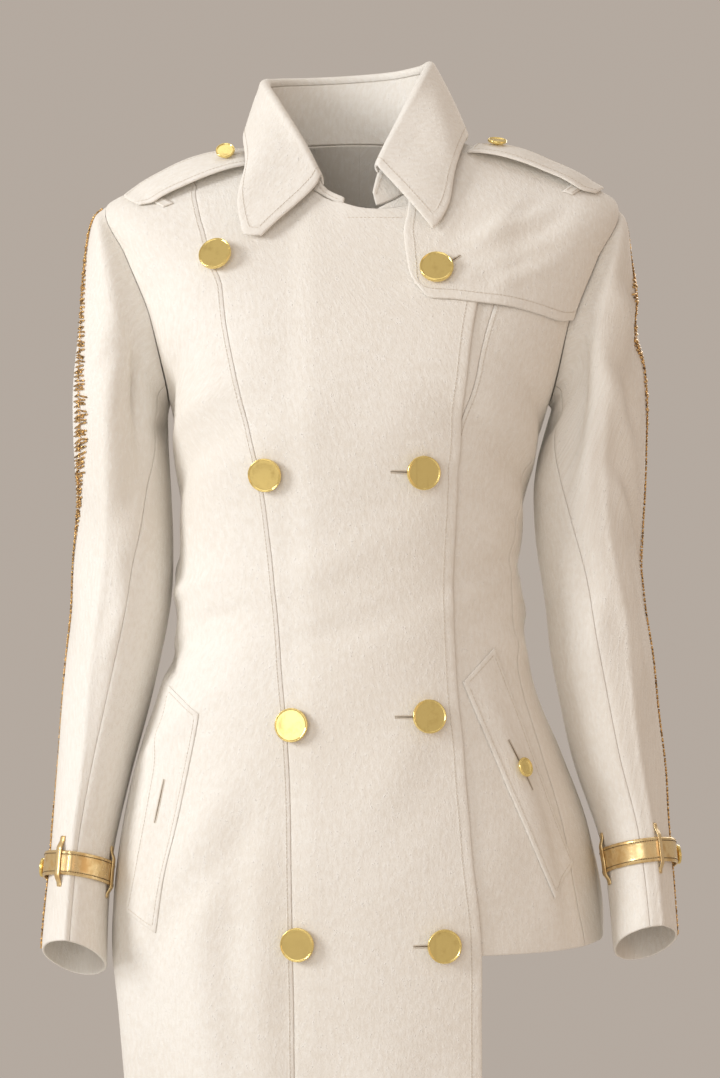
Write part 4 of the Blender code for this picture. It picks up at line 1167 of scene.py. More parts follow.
@dataclass
class Cloth:
    """A piece of cloth on a surface: its grid, its finished borders and its stitch lines."""

    name: str
    points: Array
    normals: Array
    edges: dict[str, Edge]
    stitches: dict[str, float] = field(default_factory=dict)
    wall: float = 2.0 * MM
    flat: tuple[float, float] = (0.1, 0.1)
    rests_on: tuple[str, ...] = ()
    gap: float = 0.06 * MM
    mitre: dict[str, Array | float] = field(default_factory=dict)
    pitch: float = 3.1 * MM
    thread: Thread = THREAD
    finish: Finish = SUEDE
    quiet: tuple[str, ...] = ()
    distances: dict[str, Array] = field(default_factory=dict)

    def measure(self) -> None:
        """Finds each point's distance from the four borders, along its row or its column."""
        across = np.linalg.norm(np.diff(self.points, axis=1), axis=-1)
        along = np.linalg.norm(np.diff(self.points, axis=0), axis=-1)
        left = np.pad(np.cumsum(across, 1), ((0, 0), (1, 0)))
        bottom = np.pad(np.cumsum(along, 0), ((1, 0), (0, 0)))
        right, top = left[:, -1:] - left, bottom[-1:] - bottom
        self.distances = {"left": left, "right": right, "bottom": bottom, "top": top}

    def relief(self) -> Array:
        """How far the cloth rises near its borders.

        A sewn border sinks by 0.28 mm exp(-(d/0.9 mm)^2) and swells a little at 4 mm, where the seam's
        allowance lies below. A free border rounds off over its last millimetre. A border with stitches
        swells between them and its edge.

        Returns:
            The rise of each point.
        """
        rise = np.zeros(self.points.shape[:2])
        for border, distance in self.distances.items():
            d = distance / MM
            if self.edges.get(border) is Edge.SEWN and border not in self.quiet:
                sink, swell = 0.28 * np.exp(-((d / 0.9) ** 2)), 0.16 * np.exp(-(((d - 4.2) / 2.6) ** 2))
                rise += MM * (swell - sink)
            elif self.edges.get(border) is Edge.FREE:
                rise -= 0.35 * MM * np.exp(-((d / 0.8) ** 2))
            if border in self.stitches:
                inset = self.stitches[border] / MM
                rise += 0.2 * MM * np.exp(-(((d - 0.45 * inset) / (0.4 * inset)) ** 2))
        return rise

    def pulled(self, grid: Array, amounts: dict[str, Array | float]) -> Array:
        """The grid with its sewn borders moved in, which leaves half of the seam's gap there.

        Args:
            grid: the grid's points.
            amounts: how far each border moves.

        Returns:
            The moved grid.
        """
        borders = {
            "left": (np.s_[:, 0], np.s_[:, 1]),
            "right": (np.s_[:, -1], np.s_[:, -2]),
            "bottom": (np.s_[0], np.s_[1]),
            "top": (np.s_[-1], np.s_[-2]),
        }
        moved = grid.copy()
        for border, amount in amounts.items():
            line, inside = borders[border]
            length = grid[line].shape[0]
            moved[line] += unit(grid[inside] - grid[line]) * np.broadcast_to(amount, (length,))[:, None]
        return moved

    def build(self, *nodes: str) -> Piece:
        """Makes the closed shell, its UV map, its stitch distances and its thread.

        Args:
            nodes: CAD nodes that it stands for.

        Returns:
            The piece.
        """
        self.measure()
        outer = self.points + self.normals * self.relief()[..., None]
        inner = self.points - self.normals * self.wall
        sewn = [border for border, kind in self.edges.items() if kind is Edge.SEWN]
        outer = self.pulled(outer, {border: self.gap for border in sewn})
        further = {border: self.gap + np.asarray(self.mitre.get(border, 0.0)) for border in sewn}
        inner = self.pulled(inner, further)
        piece = closed_shell(self.name, outer, inner, 0.25 * self.wall)
        rows, columns = outer.shape[:2]
        loop = border_loop(rows, columns)
        flat = np.stack([self.distances["left"], self.distances["bottom"]], -1).reshape(-1, 2)
        set_uv(piece, np.concatenate([flat, flat, flat[loop]]))
        away = np.full(rows * columns, 0.1)
        lines = [(self.distances[key] - inset).ravel() for key, inset in self.stitches.items()]
        seams = [self.distances[key].ravel() for key in sewn if key not in self.quiet]
        stitch, seam = (np.min([away, *found], 0) for found in (lines, seams))
        for key, values in (("stitch", stitch), ("seam", seam)):
            set_float(piece, key, np.concatenate([values, away, away[loop]]))
        dress(piece, self.finish, *nodes)
        runs = [self.run(outer, border, inset) for border, inset in self.stitches.items()]
        threads = [self.sew(runs)] if runs else []
        return piece

    def run(self, outer: Array, border: str, inset: float) -> tuple[Array, Array]:
        """The stitch line beside a border: its points and the cloth's normals there.

        Args:
            outer: grid of the outside.
            border: which border it follows.
            inset: how far in it lies.

        Returns:
            Points and normals along the line, clear of the corners where it has neighbours.
        """
        grid, normal = outer, self.normals
        distance = self.distances[border]
        if border in ("bottom", "top"):
            grid, normal, distance = grid.swapaxes(0, 1), normal.swapaxes(0, 1), distance.T
        if border in ("right", "top"):
            grid, normal, distance = grid[:, ::-1], normal[:, ::-1], distance[:, ::-1]
        column = np.clip((distance < inset).sum(1), 1, grid.shape[1] - 1)
        row = np.arange(len(grid))
        before, after = distance[row, column - 1], distance[row, column]
        share = np.clip((inset - before) / np.maximum(after - before, 1e-9), 0, 1)[:, None]
        line = grid[row, column - 1] * (1 - share) + grid[row, column] * share
        normals = unit(normal[row, column - 1] * (1 - share) + normal[row, column] * share)
        run = arc_length(line)
        ends = ("bottom", "top") if border in ("left", "right") else ("left", "right")
        start = self.stitches.get(ends[0], 1.5 * MM)
        end = run[-1] - self.stitches.get(ends[1], 1.5 * MM)
        kept = (run >= start) & (run <= end)
        return line[kept], normals[kept]

    def sew(self, runs: Sequence[tuple[Array, Array]]) -> Piece:
        """Lays stitches along the lines."""
        return sew_lines(f"thread_{self.name}", runs, self.pitch, self.thread)


def sew_lines(
    name: str, runs: Sequence[tuple[Array, Array]], pitch: float, thread: Thread, radius: float = 0.24 * MM
) -> Piece:
    """Stitches along lines: one short tube for each pitch, its middle just clear of the cloth.

    Args:
        name: name of the piece.
        runs: points and normals of each line.
        pitch: length of a stitch and its gap.
        thread: the thread's finish.
        radius: the thread's radius.

    Returns:
        One piece with all the stitches.
    """
    starts, ends = [], []
    for points, normals in runs:
        run = arc_length(points)
        count = max(int(run[-1] / pitch), 1)
        for share, kept in ((0.1, starts), (0.82, ends)):
            at = (np.arange(count) + share) * pitch
            away = unit(between_rows(at, run, normals))
            kept.append(between_rows(at, run, points) + away * THREAD_RISE)
    made = tubes(name, np.concatenate(starts), np.concatenate(ends), radius, 6, 0.25)
    return dress(made, thread)


@dataclass
class Bodice:
    """The fronts, the side fronts and the back halves."""

    princess: tuple = (
        (50, -930), (50, -719), (51, -640), (52, -573), (55, -468), (60, -411), (64, -360),
        (69, -310), (75, -258), (86, -205), (99, -152), (108, -109), (118, -82), (125, -57), (128, -34),
    )
    princess_left: tuple = (
        (50, -930), (50, -719), (51, -640), (52, -573), (55, -468), (58, -411), (60, -360), (62, -310),
        (66, -262), (71, -232), (77, -212), (84, -190), (89, -170), (95, -150), (103, -128), (110, -107),
        (118, -82), (125, -57), (128, -34),
    )
    overlap: tuple = (
        (92, -930), (92, -718), (92, -650), (90, -600), (85, -555), (81, -510), (76, -450), (72, -400),
        (70, -362), (71.5, -307), (72.5, -250), (75, -205), (80, -172), (88, -133), (95, -95), (98, -60),
    )
    hidden: tuple = ((-24, -628), (-24, -400), (-24, -250), (-26, -150), (-22, -70))
    side_seam: tuple = (
        (-930, 84, 64), (-700, 82, 63), (-623, 78, 62), (-575, 76, 60), (-514, 75, 60), (-478, 75, 60),
        (-414, 76, 62), (-380, 76, 62), (-362, 76, 63), (-300, 78, 66), (-250, 82, 72), (-205, 90, 90),
    )
    top_stitches: tuple = ((-10, -66), (36, -66))
    top_lift: float = 3.2 * MM
    step: float = 4.6 * MM
    high_rows: int = 30
    mitre: float = 1.2 * MM

    def levels(self, side: Side) -> Array:
        """Levels of the rows from a side's hem to the armpit, closer by the hem.

        Args:
            side: which half of the coat.

        Returns:
            Rising levels.
        """
        hem = FORM.long_hem if side is Side.RIGHT else FORM.short_hem
        length = FORM.armpit - hem
        return hem + stops(length, round(length / self.step), True, False) * length

    def up(self) -> Array:
        """Shares of the rows above the armpit, closer by the top."""
        return stops(130 * MM, self.high_rows, False, True)

    def low_path(self, seam: tuple, sign: int, side: Side) -> Array:
        """A seam given as the front shows it, read at the levels of the rows.

        Args:
            seam: places on the front, as rows of distance from the centre and height, in mm.
            sign: -1 if they are mirrored to the right, 1 if not.
            side: which half of the coat.

        Returns:
            Rows of turn and level.
        """
        places = FORM.locate([(sign * x, z) for x, z in seam])
        levels = self.levels(side)
        return np.stack([curve(places[:, 1], places[:, 0], levels), levels], -1)

    def joined(self, low: Array, high: Array) -> Array:
        """A path below the armpit and the one above it, evened out."""
        return np.concatenate([low[:-1], resample(high, self.up(), FORM.on)])

    def high_part(self, low: Array, seam: tuple, sign: int) -> Array:
        """The part of a seam above the armpit.

        Args:
            low: its part below the armpit.
            seam: as for low_path.
            sign: as for low_path.

        Returns:
            Rows of turn and level.
        """
        places = FORM.locate([(sign * x, z) for x, z in seam])
        above = places[places[:, 1] > FORM.armpit + 6 * MM]
        stations = arc_length(FORM.on(np.concatenate([low[-1:], above])))
        at = np.linspace(0, stations[-1], 60)
        return curve(stations, np.concatenate([low[-1:], above]), at)

    def princess_path(self, side: Side) -> Array:
        """The princess seam, from the hem over the bust to the shoulder.

        Args:
            side: which half of the coat.

        Returns:
            Rows of turn and level.
        """
        seam = self.princess if side is Side.RIGHT else self.princess_left
        low = self.low_path(seam, side.value, side)
        joint = [[side.value * math.pi / 2, FORM.shoulder_joint]]
        return self.joined(low, np.concatenate([self.high_part(low, seam, side.value), joint]))

    def side_path(self, side: Side, around: int) -> Array:
        """The side seam up to the armpit, then round the front (1) or the back (-1) of the armhole.

        Args:
            side: which half of the coat.
            around: 1 for the front, -1 for the back.

        Returns:
            Rows of turn and level.
        """
        table = np.array(self.side_seam, float)
        levels = self.levels(side)
        turn = np.radians(curve(table[:, 0] * MM, table[:, 1 if side is Side.RIGHT else 2], levels))
        low = np.stack([side.value * turn, levels], -1)
        return self.joined(low, FORM.armhole(side.value, around * np.linspace(180, 0, 120)))

    def free_path(self, edge: tuple, side: Side) -> Array:
        """A front edge that is not sewn."""
        low = self.low_path(edge, 1, side)
        return self.joined(low, self.high_part(low, edge, 1))

    def grid(self, left: Array, right: Array, top: Array, across: Array, side: Side, half: int = 0) -> Array:
        """Grid of (turn, level): level rows up to the armpit, then a patch up to the top.

        Args:
            left: path of the first column.
            right: path of the last column.
            top: path of the last row.
            across: shares of the columns.
            side: which half of the coat.
            half: sign of X that the whole patch has, or 0.

        Returns:
            Grid of turn and level.
        """
        rows = len(self.levels(side)) - 1
        share = across[None, :, None]
        low = (1 - share) * left[: rows + 1, None] + share * right[: rows + 1, None]
        borders = (low[-1], resample(top, across, FORM.on), left[rows:], right[rows:])
        return np.concatenate([low[:-1], FORM.patch(borders, across, self.up(), half)])

    def panel(
        self, name: str, cut: Array, surface: Surface, edges: dict[str, Edge], stitches: dict[str, float],
        flat: tuple[float, float], mitre: dict | None = None, lift: Array | float = 0.0,
    ) -> None:
        """Builds one panel of the body.

        Args:
            name: name of the piece and start of its node's name.
            cut: grid of turn and level.
            surface: the surface that it lies on.
            edges: finish of each border.
            stitches: insets of its stitch lines.
            flat: size that it was cut to.
            mitre: how much further its inside is cut back.
            lift: how far each point is raised.
        """
        points, normals = FORM.raised(surface, cut)
        points[..., 2] += lift
        Cloth(f"cloth_{name}", points, normals, edges, stitches, flat=flat, mitre=mitre or {}).build(name)

    def fronts(self) -> None:
        """The long right front and the short left one."""
        left, right = self.princess_path(Side.RIGHT), self.free_path(self.overlap, Side.RIGHT)
        neck = straight((-math.pi / 2, FORM.neckline), (math.radians(-9), FORM.neckline))
        step = FORM.locate([(-8, -56.5), (36, -56.5), (70, -58), (90, -59.5)])
        shoulder = straight((-math.pi / 2, FORM.shoulder_joint), (-math.pi / 2, FORM.neckline))
        top = np.concatenate([shoulder[:-1], neck, step, right[-1:]])
        cut = self.grid(left, right, top, stops(0.16, 36), Side.RIGHT)
        edges = sewn_at("left", "top")
        x = FORM.base(cut[..., 0], cut[..., 1])[..., 0] / MM
        flat_top = ease(x, -24, -6) * (1 - ease(x, 44, 90)) * ease(cut[..., 1] / MM, -82, -56)
        lift = self.top_lift * flat_top
        self.panel("front_right", cut, FORM.over, edges, {"right": 8 * MM}, (0.19, 0.90), lift=lift)
        places = FORM.locate(straight(*self.top_stitches, 30))
        line, normals = FORM.raised(FORM.over, places)
        line[:, 2] += 0.6 * self.top_lift
        sew_lines("thread_front_top", [(line, normals)], 3.1 * MM, THREAD)
        left, right = self.free_path(self.hidden, Side.LEFT), self.princess_path(Side.LEFT)
        under = FORM.neckline - 6 * MM
        neck = np.concatenate(
            [
                straight(left[-1], (math.radians(8), under)),
                straight((math.radians(11), FORM.neckline), (math.pi / 2, FORM.neckline)),
            ]
        )
        shoulder = straight((math.pi / 2, FORM.shoulder_joint), (math.pi / 2, FORM.neckline))[::-1]
        cut = self.grid(left, right, np.concatenate([neck[:-1], shoulder]), stops(0.11, 24), Side.LEFT)
        edges = sewn_at("right", "top")
        self.panel("front_left", cut, FORM.skin, edges, {}, (0.15, 0.62))

    def side_fronts(self) -> None:
        """The side fronts, from the princess seams to the side seams and the armholes."""
        for side in Side:
            inner, outer = self.princess_path(side), self.side_path(side, 1)
            mitre = self.armhole_mitre(outer)
            edges = sewn_at("left", "right", "top")
            if side is Side.LEFT:
                left, right, cuts, stitches = inner, outer, {"right": mitre}, {"left": 3.4 * MM}
            else:
                left, right, cuts, stitches = outer, inner, {"left": mitre}, {"right": 3.4 * MM}
            cut = self.grid(left, right, straight(left[-1], right[-1]), stops(0.11, 26), side)
            surface = FORM.over if side is Side.RIGHT else FORM.skin
            length = 0.90 if side is Side.RIGHT else 0.60
            self.panel(f"side_front_{side.word}", cut, surface, edges, stitches, (0.18, length), cuts)

    def backs(self) -> None:
        """The two halves of the back, from the side seams to the centre back seam."""
        for side in Side:
            sign = side.value
            outer = self.side_path(side, -1)
            levels = self.levels(side)
            low = np.stack([np.full(len(levels), sign * math.pi), levels], -1)
            middle, seam = sign * math.pi, sign * math.pi / 2
            centre = self.joined(low, straight((middle, FORM.armpit), (middle, FORM.neckline), 60))
            neck = straight((seam, FORM.neckline), (middle, FORM.neckline))
            shoulder = straight((seam, FORM.shoulder_point), (seam, FORM.neckline))
            top = np.concatenate([shoulder[:-1], neck])
            mitre = self.armhole_mitre(outer)
            left, right, cuts, stitches = outer, centre, {"left": mitre}, {"right": 3.4 * MM}
            if side is Side.RIGHT:
                left, right, top, cuts, stitches = centre, outer, top[::-1], {"right": mitre}, {}
            cut = self.grid(left, right, top, stops(0.21, 42), side, sign)
            edges = sewn_at("left", "right", "top")
            length = 1.0 if side is Side.RIGHT else 0.70
            self.panel(f"back_{side.word}", cut, FORM.skin, edges, stitches, (0.28, length), cuts)

    def armhole_mitre(self, path: Array) -> Array:
        """The extra mitre of a side path, only where it goes round the armhole."""
        return np.where(np.arange(len(path)) >= len(path) - len(self.up()), self.mitre, 0.0)

    def build(self) -> None:
        """Makes the six panels."""
        self.fronts()
        self.side_fronts()
        self.backs()


@dataclass
class StormFlap:
    """The flap on the left shoulder, which lies over the upper end of the overlap."""

    left_edge: tuple = ((42, -118), (37.5, -107), (35, -89), (34.5, -71))
    lower_edge: tuple = (
        (42, -118), (48, -125), (54, -129), (71, -130), (90, -132), (116, -134), (133, -137), (148, -140),
    )
    armhole_end: float = 100.0
    neck_turn: float = 27.0
    clear: float = 4 * MM
    # soft creases that run from the button and the armhole: two ends (x, z), width and height, in mm
    creases: tuple = (
        (80, -88, 154, -56, 5.5, 4.0), (92, -84, 132, -44, 5.0, 2.6), (96, -121, 156, -96, 5.5, 2.8),
        (66, -112, 98, -116, 5.0, 1.6), (58, -88, 78, -52, 5.0, 1.5),
    )

    def crease(self, points: Array) -> Array:
        """How far the flap's soft creases lift its outside.

        Each crease is a ridge: its height times exp(-(distance / width)^2), faded out toward both ends.

        Args:
            points: places on the flap.

        Returns:
            Height at each place.
        """
        height = np.zeros(points.shape[:-1])
        for x_0, z_0, x_1, z_1, width, lift in self.creases:
            start, run = np.array((x_0, z_0)) * MM, np.array((x_1 - x_0, z_1 - z_0)) * MM
            gone = points[..., [0, 2]] - start
            share = gone @ run / (run @ run)
            aside = (gone[..., 0] * run[1] - gone[..., 1] * run[0]) / math.hypot(*run)
            faded = np.sin(math.pi * np.clip(share, 0, 1)) ** 0.8
            height += lift * MM * np.exp(-((aside / (width * MM)) ** 2)) * faded
        return height

    @staticmethod
    def rise(points: Array) -> Array:
        """How far the flap's outside lies above the body: about two layers over the overlap, one beyond it.

        Args:
            points: places on the body.

        Returns:
            Height at each place.
        """
        beside = ease(points[..., 0] / MM, 104, 126)
        above = ease(points[..., 2] / MM, -52, -34)
        outside = ease(points[..., 0] / MM, 140, 165)
        return FORM.layer * (1.3 + 0.7 * (1 - beside) * (1 - above) + 0.4 * outside)

    def build(self) -> None:
        """Makes the flap."""
        end = FORM.neckline - 1.5 * MM
        across, up = stops(0.15, 34), stops(0.13, 30)
        arm = FORM.armhole(1, np.linspace(self.armhole_end, 0, 60), self.clear)
        lower = np.concatenate([FORM.locate(self.lower_edge), arm[:1]])
        lower = curve(np.arange(len(lower)), lower, np.linspace(0, len(lower) - 1, 60))
        left = np.concatenate([FORM.locate(self.left_edge), [[math.radians(self.neck_turn), end]]])
        left = curve(np.arange(len(left)), left, np.linspace(0, len(left) - 1, 40))
        neck = straight((math.radians(self.neck_turn), end), (math.pi / 2, end))
        top = np.concatenate([neck[:-1], straight((math.pi / 2, end), arm[-1])])
        paths = ((lower, across), (top, across), (left, up), (arm, up))
        borders = [resample(path, share, FORM.on) for path, share in paths]
        cut = FORM.patch(borders, across, up, 1)
        base = FORM.on(cut)
        points, normals = FORM.raised(FORM.skin, cut, self.rise(base) + self.crease(base))
        Cloth(
            "cloth_storm_flap", points, normals, ALL_FREE, {"left": 7 * MM, "bottom": 7 * MM},
            flat=(0.16, 0.15), rests_on=("front_right",),
        ).build("storm_flap")


@dataclass
class Slit:
    """A buttonhole: a dark slit between two rows of close stitches."""

    name: str
    start: tuple[float, float]
    end: tuple[float, float]
    surface: Surface
    rise: float = 0.0
    width: float = 0.8 * MM
    lip: float = 1.2 * MM
    pitch: float = 0.6 * MM

    def build(self) -> None:
        """Makes the slit and its stitches on the surface, from places on the front in mm."""
        run = np.linspace(0, 1, 14)
        places = FORM.locate((1 - run[:, None]) * np.array(self.start) + run[:, None] * np.array(self.end))
        line, normals = FORM.raised(self.surface, places, self.rise)
        make_slit(self.name, line, normals, self.width, self.lip, self.pitch)


def make_slit(name: str, line: Array, normals: Array, width: float, lip: float, pitch: float) -> None:
    """A lens-shaped dark slit along a line, with close stitches square to it on both sides.

    Args:
        name: start of the names of its pieces.
        line: points along the slit, on the cloth.
        normals: the cloth's normals there.
        width: greatest width of the slit.
        lip: length of the stitches.
        pitch: distance between the stitches.
    """
    way = unit(np.gradient(line, axis=0))
    side = unit(np.cross(normals, way))
    share = np.linspace(0, 1, len(line))
    half = width / 2 * np.sin(math.pi * np.clip(share, 0.02, 0.98)) ** 0.4
    across = np.array([-1.0, 0.0, 1.0])
    lens = side[:, None] * (half[:, None] * across)[..., None]
    top = line[:, None] + lens + normals[:, None] * SLIT_RISE
    low = top - normals[:, None] * SLIT_DEPTH
    dress(closed_shell(f"slit_{name}", top, low, 0.0), SLIT)
    run = arc_length(line)
    at = np.arange(pitch / 2, run[-1], pitch)
    spot, along, away = (between_rows(at, run, source) for source in (line, side, normals))
    inset = np.interp(at, run, half)[:, None]
    lifted = spot + away * SLIT_RISE
    starts = np.concatenate([lifted + along * inset, lifted - along * inset])
    ends = np.concatenate([lifted + along * (inset + lip), lifted - along * (inset + lip)])
    dress(tubes(f"thread_slit_{name}", starts, ends, 0.26 * MM, 6, 0.2), THREAD)


@dataclass
class Pockets:
    """The slanted welts and their slits."""

    corners: dict[Side, tuple] = field(
        default_factory=lambda: {
            Side.LEFT: ((78.5, -421), (103, -395), (149, -588), (170, -563)),
            Side.RIGHT: ((-124, -446), (-150, -426), (-162, -616), (-183, -602)),
        }
    )
    inset: float = 3.6 * MM
    wall: float = 0.8 * MM
    rise: dict[Side, float] = field(default_factory=lambda: {Side.RIGHT: 1.05 * MM, Side.LEFT: 1.35 * MM})

    def build(self) -> None:
        """Makes both welts and their slits."""
        for side in Side:
            inner_top, outer_top, inner_low, outer_low = np.array(self.corners[side], float)
            ends = (inner_low, outer_low, inner_top, outer_top)
            if side is Side.RIGHT:
                ends = (outer_low, inner_low, outer_top, inner_top)
            across = stops(0.034, 8)[None, :, None]
            up = stops(0.19, 40)[:, None, None]
            below, above = ((1 - across) * ends[k] + across * ends[k + 1] for k in (0, 2))
            places = (1 - up) * below + up * above
            cut = FORM.locate(places.reshape(-1, 2)).reshape(places.shape)
            surface = FORM.over if side is Side.RIGHT else FORM.skin
            points, normals = FORM.raised(surface, cut, self.rise[side])
            Cloth(
                f"cloth_welt_{side.word}", points, normals, ALL_FREE, dict.fromkeys(ALL_FREE, self.inset),
                wall=self.wall, flat=(0.036, 0.19), rests_on=(f"side_front_{side.word}",),
            ).build(f"welt_{side.word}")
        Slit("pocket_left", (112, -466), (131, -505), FORM.skin, self.rise[Side.LEFT]).build()
        Slit("pocket_right", (-152.5, -497), (-160.5, -531), FORM.over, self.rise[Side.RIGHT]).build()


@dataclass
class Collar:
    """The stand and the turned-down leaf.

    Each row of the table holds a place round the neck (degrees from the centre back, negative on the right),
    the fold at the top of the stand (x, y, z in mm) and the leaf's edge over the body (turn in degrees, level
    and distance in mm).
    """

    rows: tuple = (
        (-170, -12, -70, -47, -24, -99, 7),
        (-156, -29, -64, -36, -25, -91, 7),
        (-150, -34, -60.5, -26, -29, -93, 7),
        (-146, -37, -57, -20, -31.5, -89, 7),
        (-132, -48, -47, -1, -40, -79, 10),
        (-112, -64, -26, 28, -56, -66, 12),
        (-90, -73, 4, 47, -84, -60, 12),
        (-60, -66, 36, 56, -118, -60, 10),
        (-30, -40, 55, 60, -150, -62, 9),
        (0, -6, 62, 63, -180, -63, 9),
        (30, 27, 56, 65, -210, -62, 9),
        (60, 48, 37, 66, -242, -60, 10),
        (90, 54, 6, 62, -276, -58, 11),
        (112, 46, -22, 42, -302, -60, 11),
        (132, 31, -44, 8, -318, -66, 11),
        (146, 20, -58, -14, -328.5, -74, 11),
        (158, 14, -65, -27, -339.5, -84, 11),
        (170, 10, -70, -42, -343, -88, 11),
    )
    stand_ends: tuple[float, float] = (-170, 170)
    leaf_ends: tuple[float, float] = (-156, 158)
    roll_rise: float = 3 * MM
    roll_radius: float = 4.5 * MM
    roll_start: float = 0.06
    roll_end: float = 0.22
    wall: float = 2.0 * MM
    # soft forms of the leaf: place round the neck, share down it, reaches, lean, bow and height
    folds: tuple[Fold, ...] = (
        Fold(-128, 0.62, 6, 0.3, 3, 0, 1.2), Fold(-108, 0.66, 7, 0.3, -3, 0, -1.4),
        Fold(-74, 0.7, 9, 0.3, 2, 0, 1.0), Fold(-20, 0.7, 12, 0.3, 0, 0, -1.0),
        Fold(24, 0.66, 10, 0.3, 2, 0, 1.1), Fold(72, 0.7, 9, 0.3, 0, 0, -1.0),
        Fold(112, 0.64, 7, 0.3, 3, 0, 1.3), Fold(136, 0.6, 6, 0.3, -3, 0, -1.1),
    )

    def column(self, index: int, at: Array) -> Array:
        """One column of the table, in mm or degrees, read at places round the neck."""
        table = np.array(self.rows, float)
        return curve(table[:, 0], table[:, index], at)

    def roll(self, at: Array) -> Array:
        """The fold at the top of the stand."""
        return np.stack([self.column(k, at) for k in (1, 2, 3)], -1) * MM

    def foot(self, at: Array) -> Array:
        """The neckline of the body."""
        turn, level = -np.radians(180 + at), np.full(np.shape(at), FORM.neckline)
        return np.where((at < 0)[..., None], FORM.over(turn, level), FORM.skin(turn, level))

    def frame(self, at: Array) -> tuple[Array, Array, Array, Array]:
        """Foot, fold, the way up the stand and the way out of it.

        Args:
            at: place round the neck in degrees.

        Returns:
            Four arrays of vectors.
        """
        foot, roll = self.foot(at), self.roll(at)
        up = unit(roll - foot)
        along = self.foot(at + 2) - self.foot(at - 2) + self.roll(at + 2) - self.roll(at - 2)
        out = np.stack([-along[..., 1], along[..., 0], 0 * along[..., 0]], -1)
        out = unit(out * np.sign((out * roll).sum(-1))[..., None])
        return foot, roll, up, unit(out - up * (out * up).sum(-1, keepdims=True))

    def leaf(self, at: Array, down: Array) -> Array:
        """The leaf's outside: a half circle over the stand, then a cubic Bezier curve down to the edge.

        Args:
            at: place round the neck in degrees.
            down: 0 at the stand, 1 at the edge.

        Returns:
            Points.
        """
        _, roll, up, out = self.frame(at)
        turn, level = np.radians(self.column(4, at)), self.column(5, at) * MM
        edge_normal = FORM.normals(FORM.skin, turn, level)
        edge = FORM.skin(turn, level) + edge_normal * (self.column(6, at) * MM)[..., None]
        start = roll - out * self.wall / 2 + up * 0.8 * MM
        near_end = ease(np.minimum(at - self.leaf_ends[0], self.leaf_ends[1] - at), 0, 40)
        rise = self.roll_rise * (0.3 + 0.7 * near_end)[..., None]
        over = np.clip((down - self.roll_start) / (self.roll_end - self.roll_start), 0, 1)
        angle = math.pi * over[..., None]
        climb = start + up * rise * np.clip(down / self.roll_start, 0, 1)[..., None]
        arc = climb + out * self.roll_radius * (1 - np.cos(angle)) + up * self.roll_radius * np.sin(angle)
        t = np.clip((down - self.roll_end) / (1 - self.roll_end), 0, 1)[..., None]
        last = start + up * rise + out * 2 * self.roll_radius
        reach = np.linalg.norm(edge - last, axis=-1, keepdims=True)
        bend = last - up * reach * 0.22 + out * reach * 0.04
        level_in = edge + (last - edge) * 0.35 + edge_normal * 3 * MM
        fall = (1 - t) ** 3 * last + 3 * t * (1 - t) ** 2 * bend + 3 * t**2 * (1 - t) * level_in + t**3 * edge
        return np.where(t > 0, fall, arc)

    def build(self) -> None:
        """Makes the stand and the leaf."""
        low, high = self.stand_ends
        at = (low + (high - low) * stops(0.44, 100))[None, :]
        share = stops(0.07, 12)[:, None]
        at, share = np.broadcast_arrays(at, share)
        foot, roll, up, out = self.frame(at)
        foot = foot + up * 1.1 * MM
        points = foot * (1 - share[..., None]) + roll * share[..., None] + out * self.wall / 2
        edges = sewn_at("bottom")
        Cloth(
            "cloth_collar_stand", points[:, ::-1], out[:, ::-1], edges, {"top": 4 * MM}, gap=0.0,
            flat=(0.50, 0.075), rests_on=("front_right",),
        ).build("collar_stand")
        low, high = self.leaf_ends
        at = (low + (high - low) * stops(0.5, 118))[None, :]
        arc = np.linspace(self.roll_start, self.roll_end, 13)
        fall = self.roll_end + (1 - self.roll_end) * stops(0.08, 26, False, True)[1:]
        at, down = np.broadcast_arrays(at, np.concatenate([[0.0], arc, fall])[:, None])
        points = self.leaf(at, down)
        held_at = np.clip(at, low + 0.5, high - 0.5)
        held = np.clip(down, 0.01, 0.995)
        normals = unit(
            np.cross(
                self.leaf(held_at + 0.5, held) - self.leaf(held_at - 0.5, held),
                self.leaf(held_at, held + 0.004) - self.leaf(held_at, held - 0.004),
            )
        )
        height = fold_height(self.folds, at, down) * ease(down, 0.25, 0.5)
        points = points + normals * (height + unevenness(points, 0.1 * MM) * ease(down, 0.25, 0.5))[..., None]
        edges = sewn_at("bottom")
        Cloth(
            "cloth_collar_leaf", points, normals, edges, dict.fromkeys(("top", "left", "right"), 7 * MM),
            gap=0.0, flat=(0.54, 0.115), rests_on=("cloth_collar_stand",),
        ).build("collar_leaf")


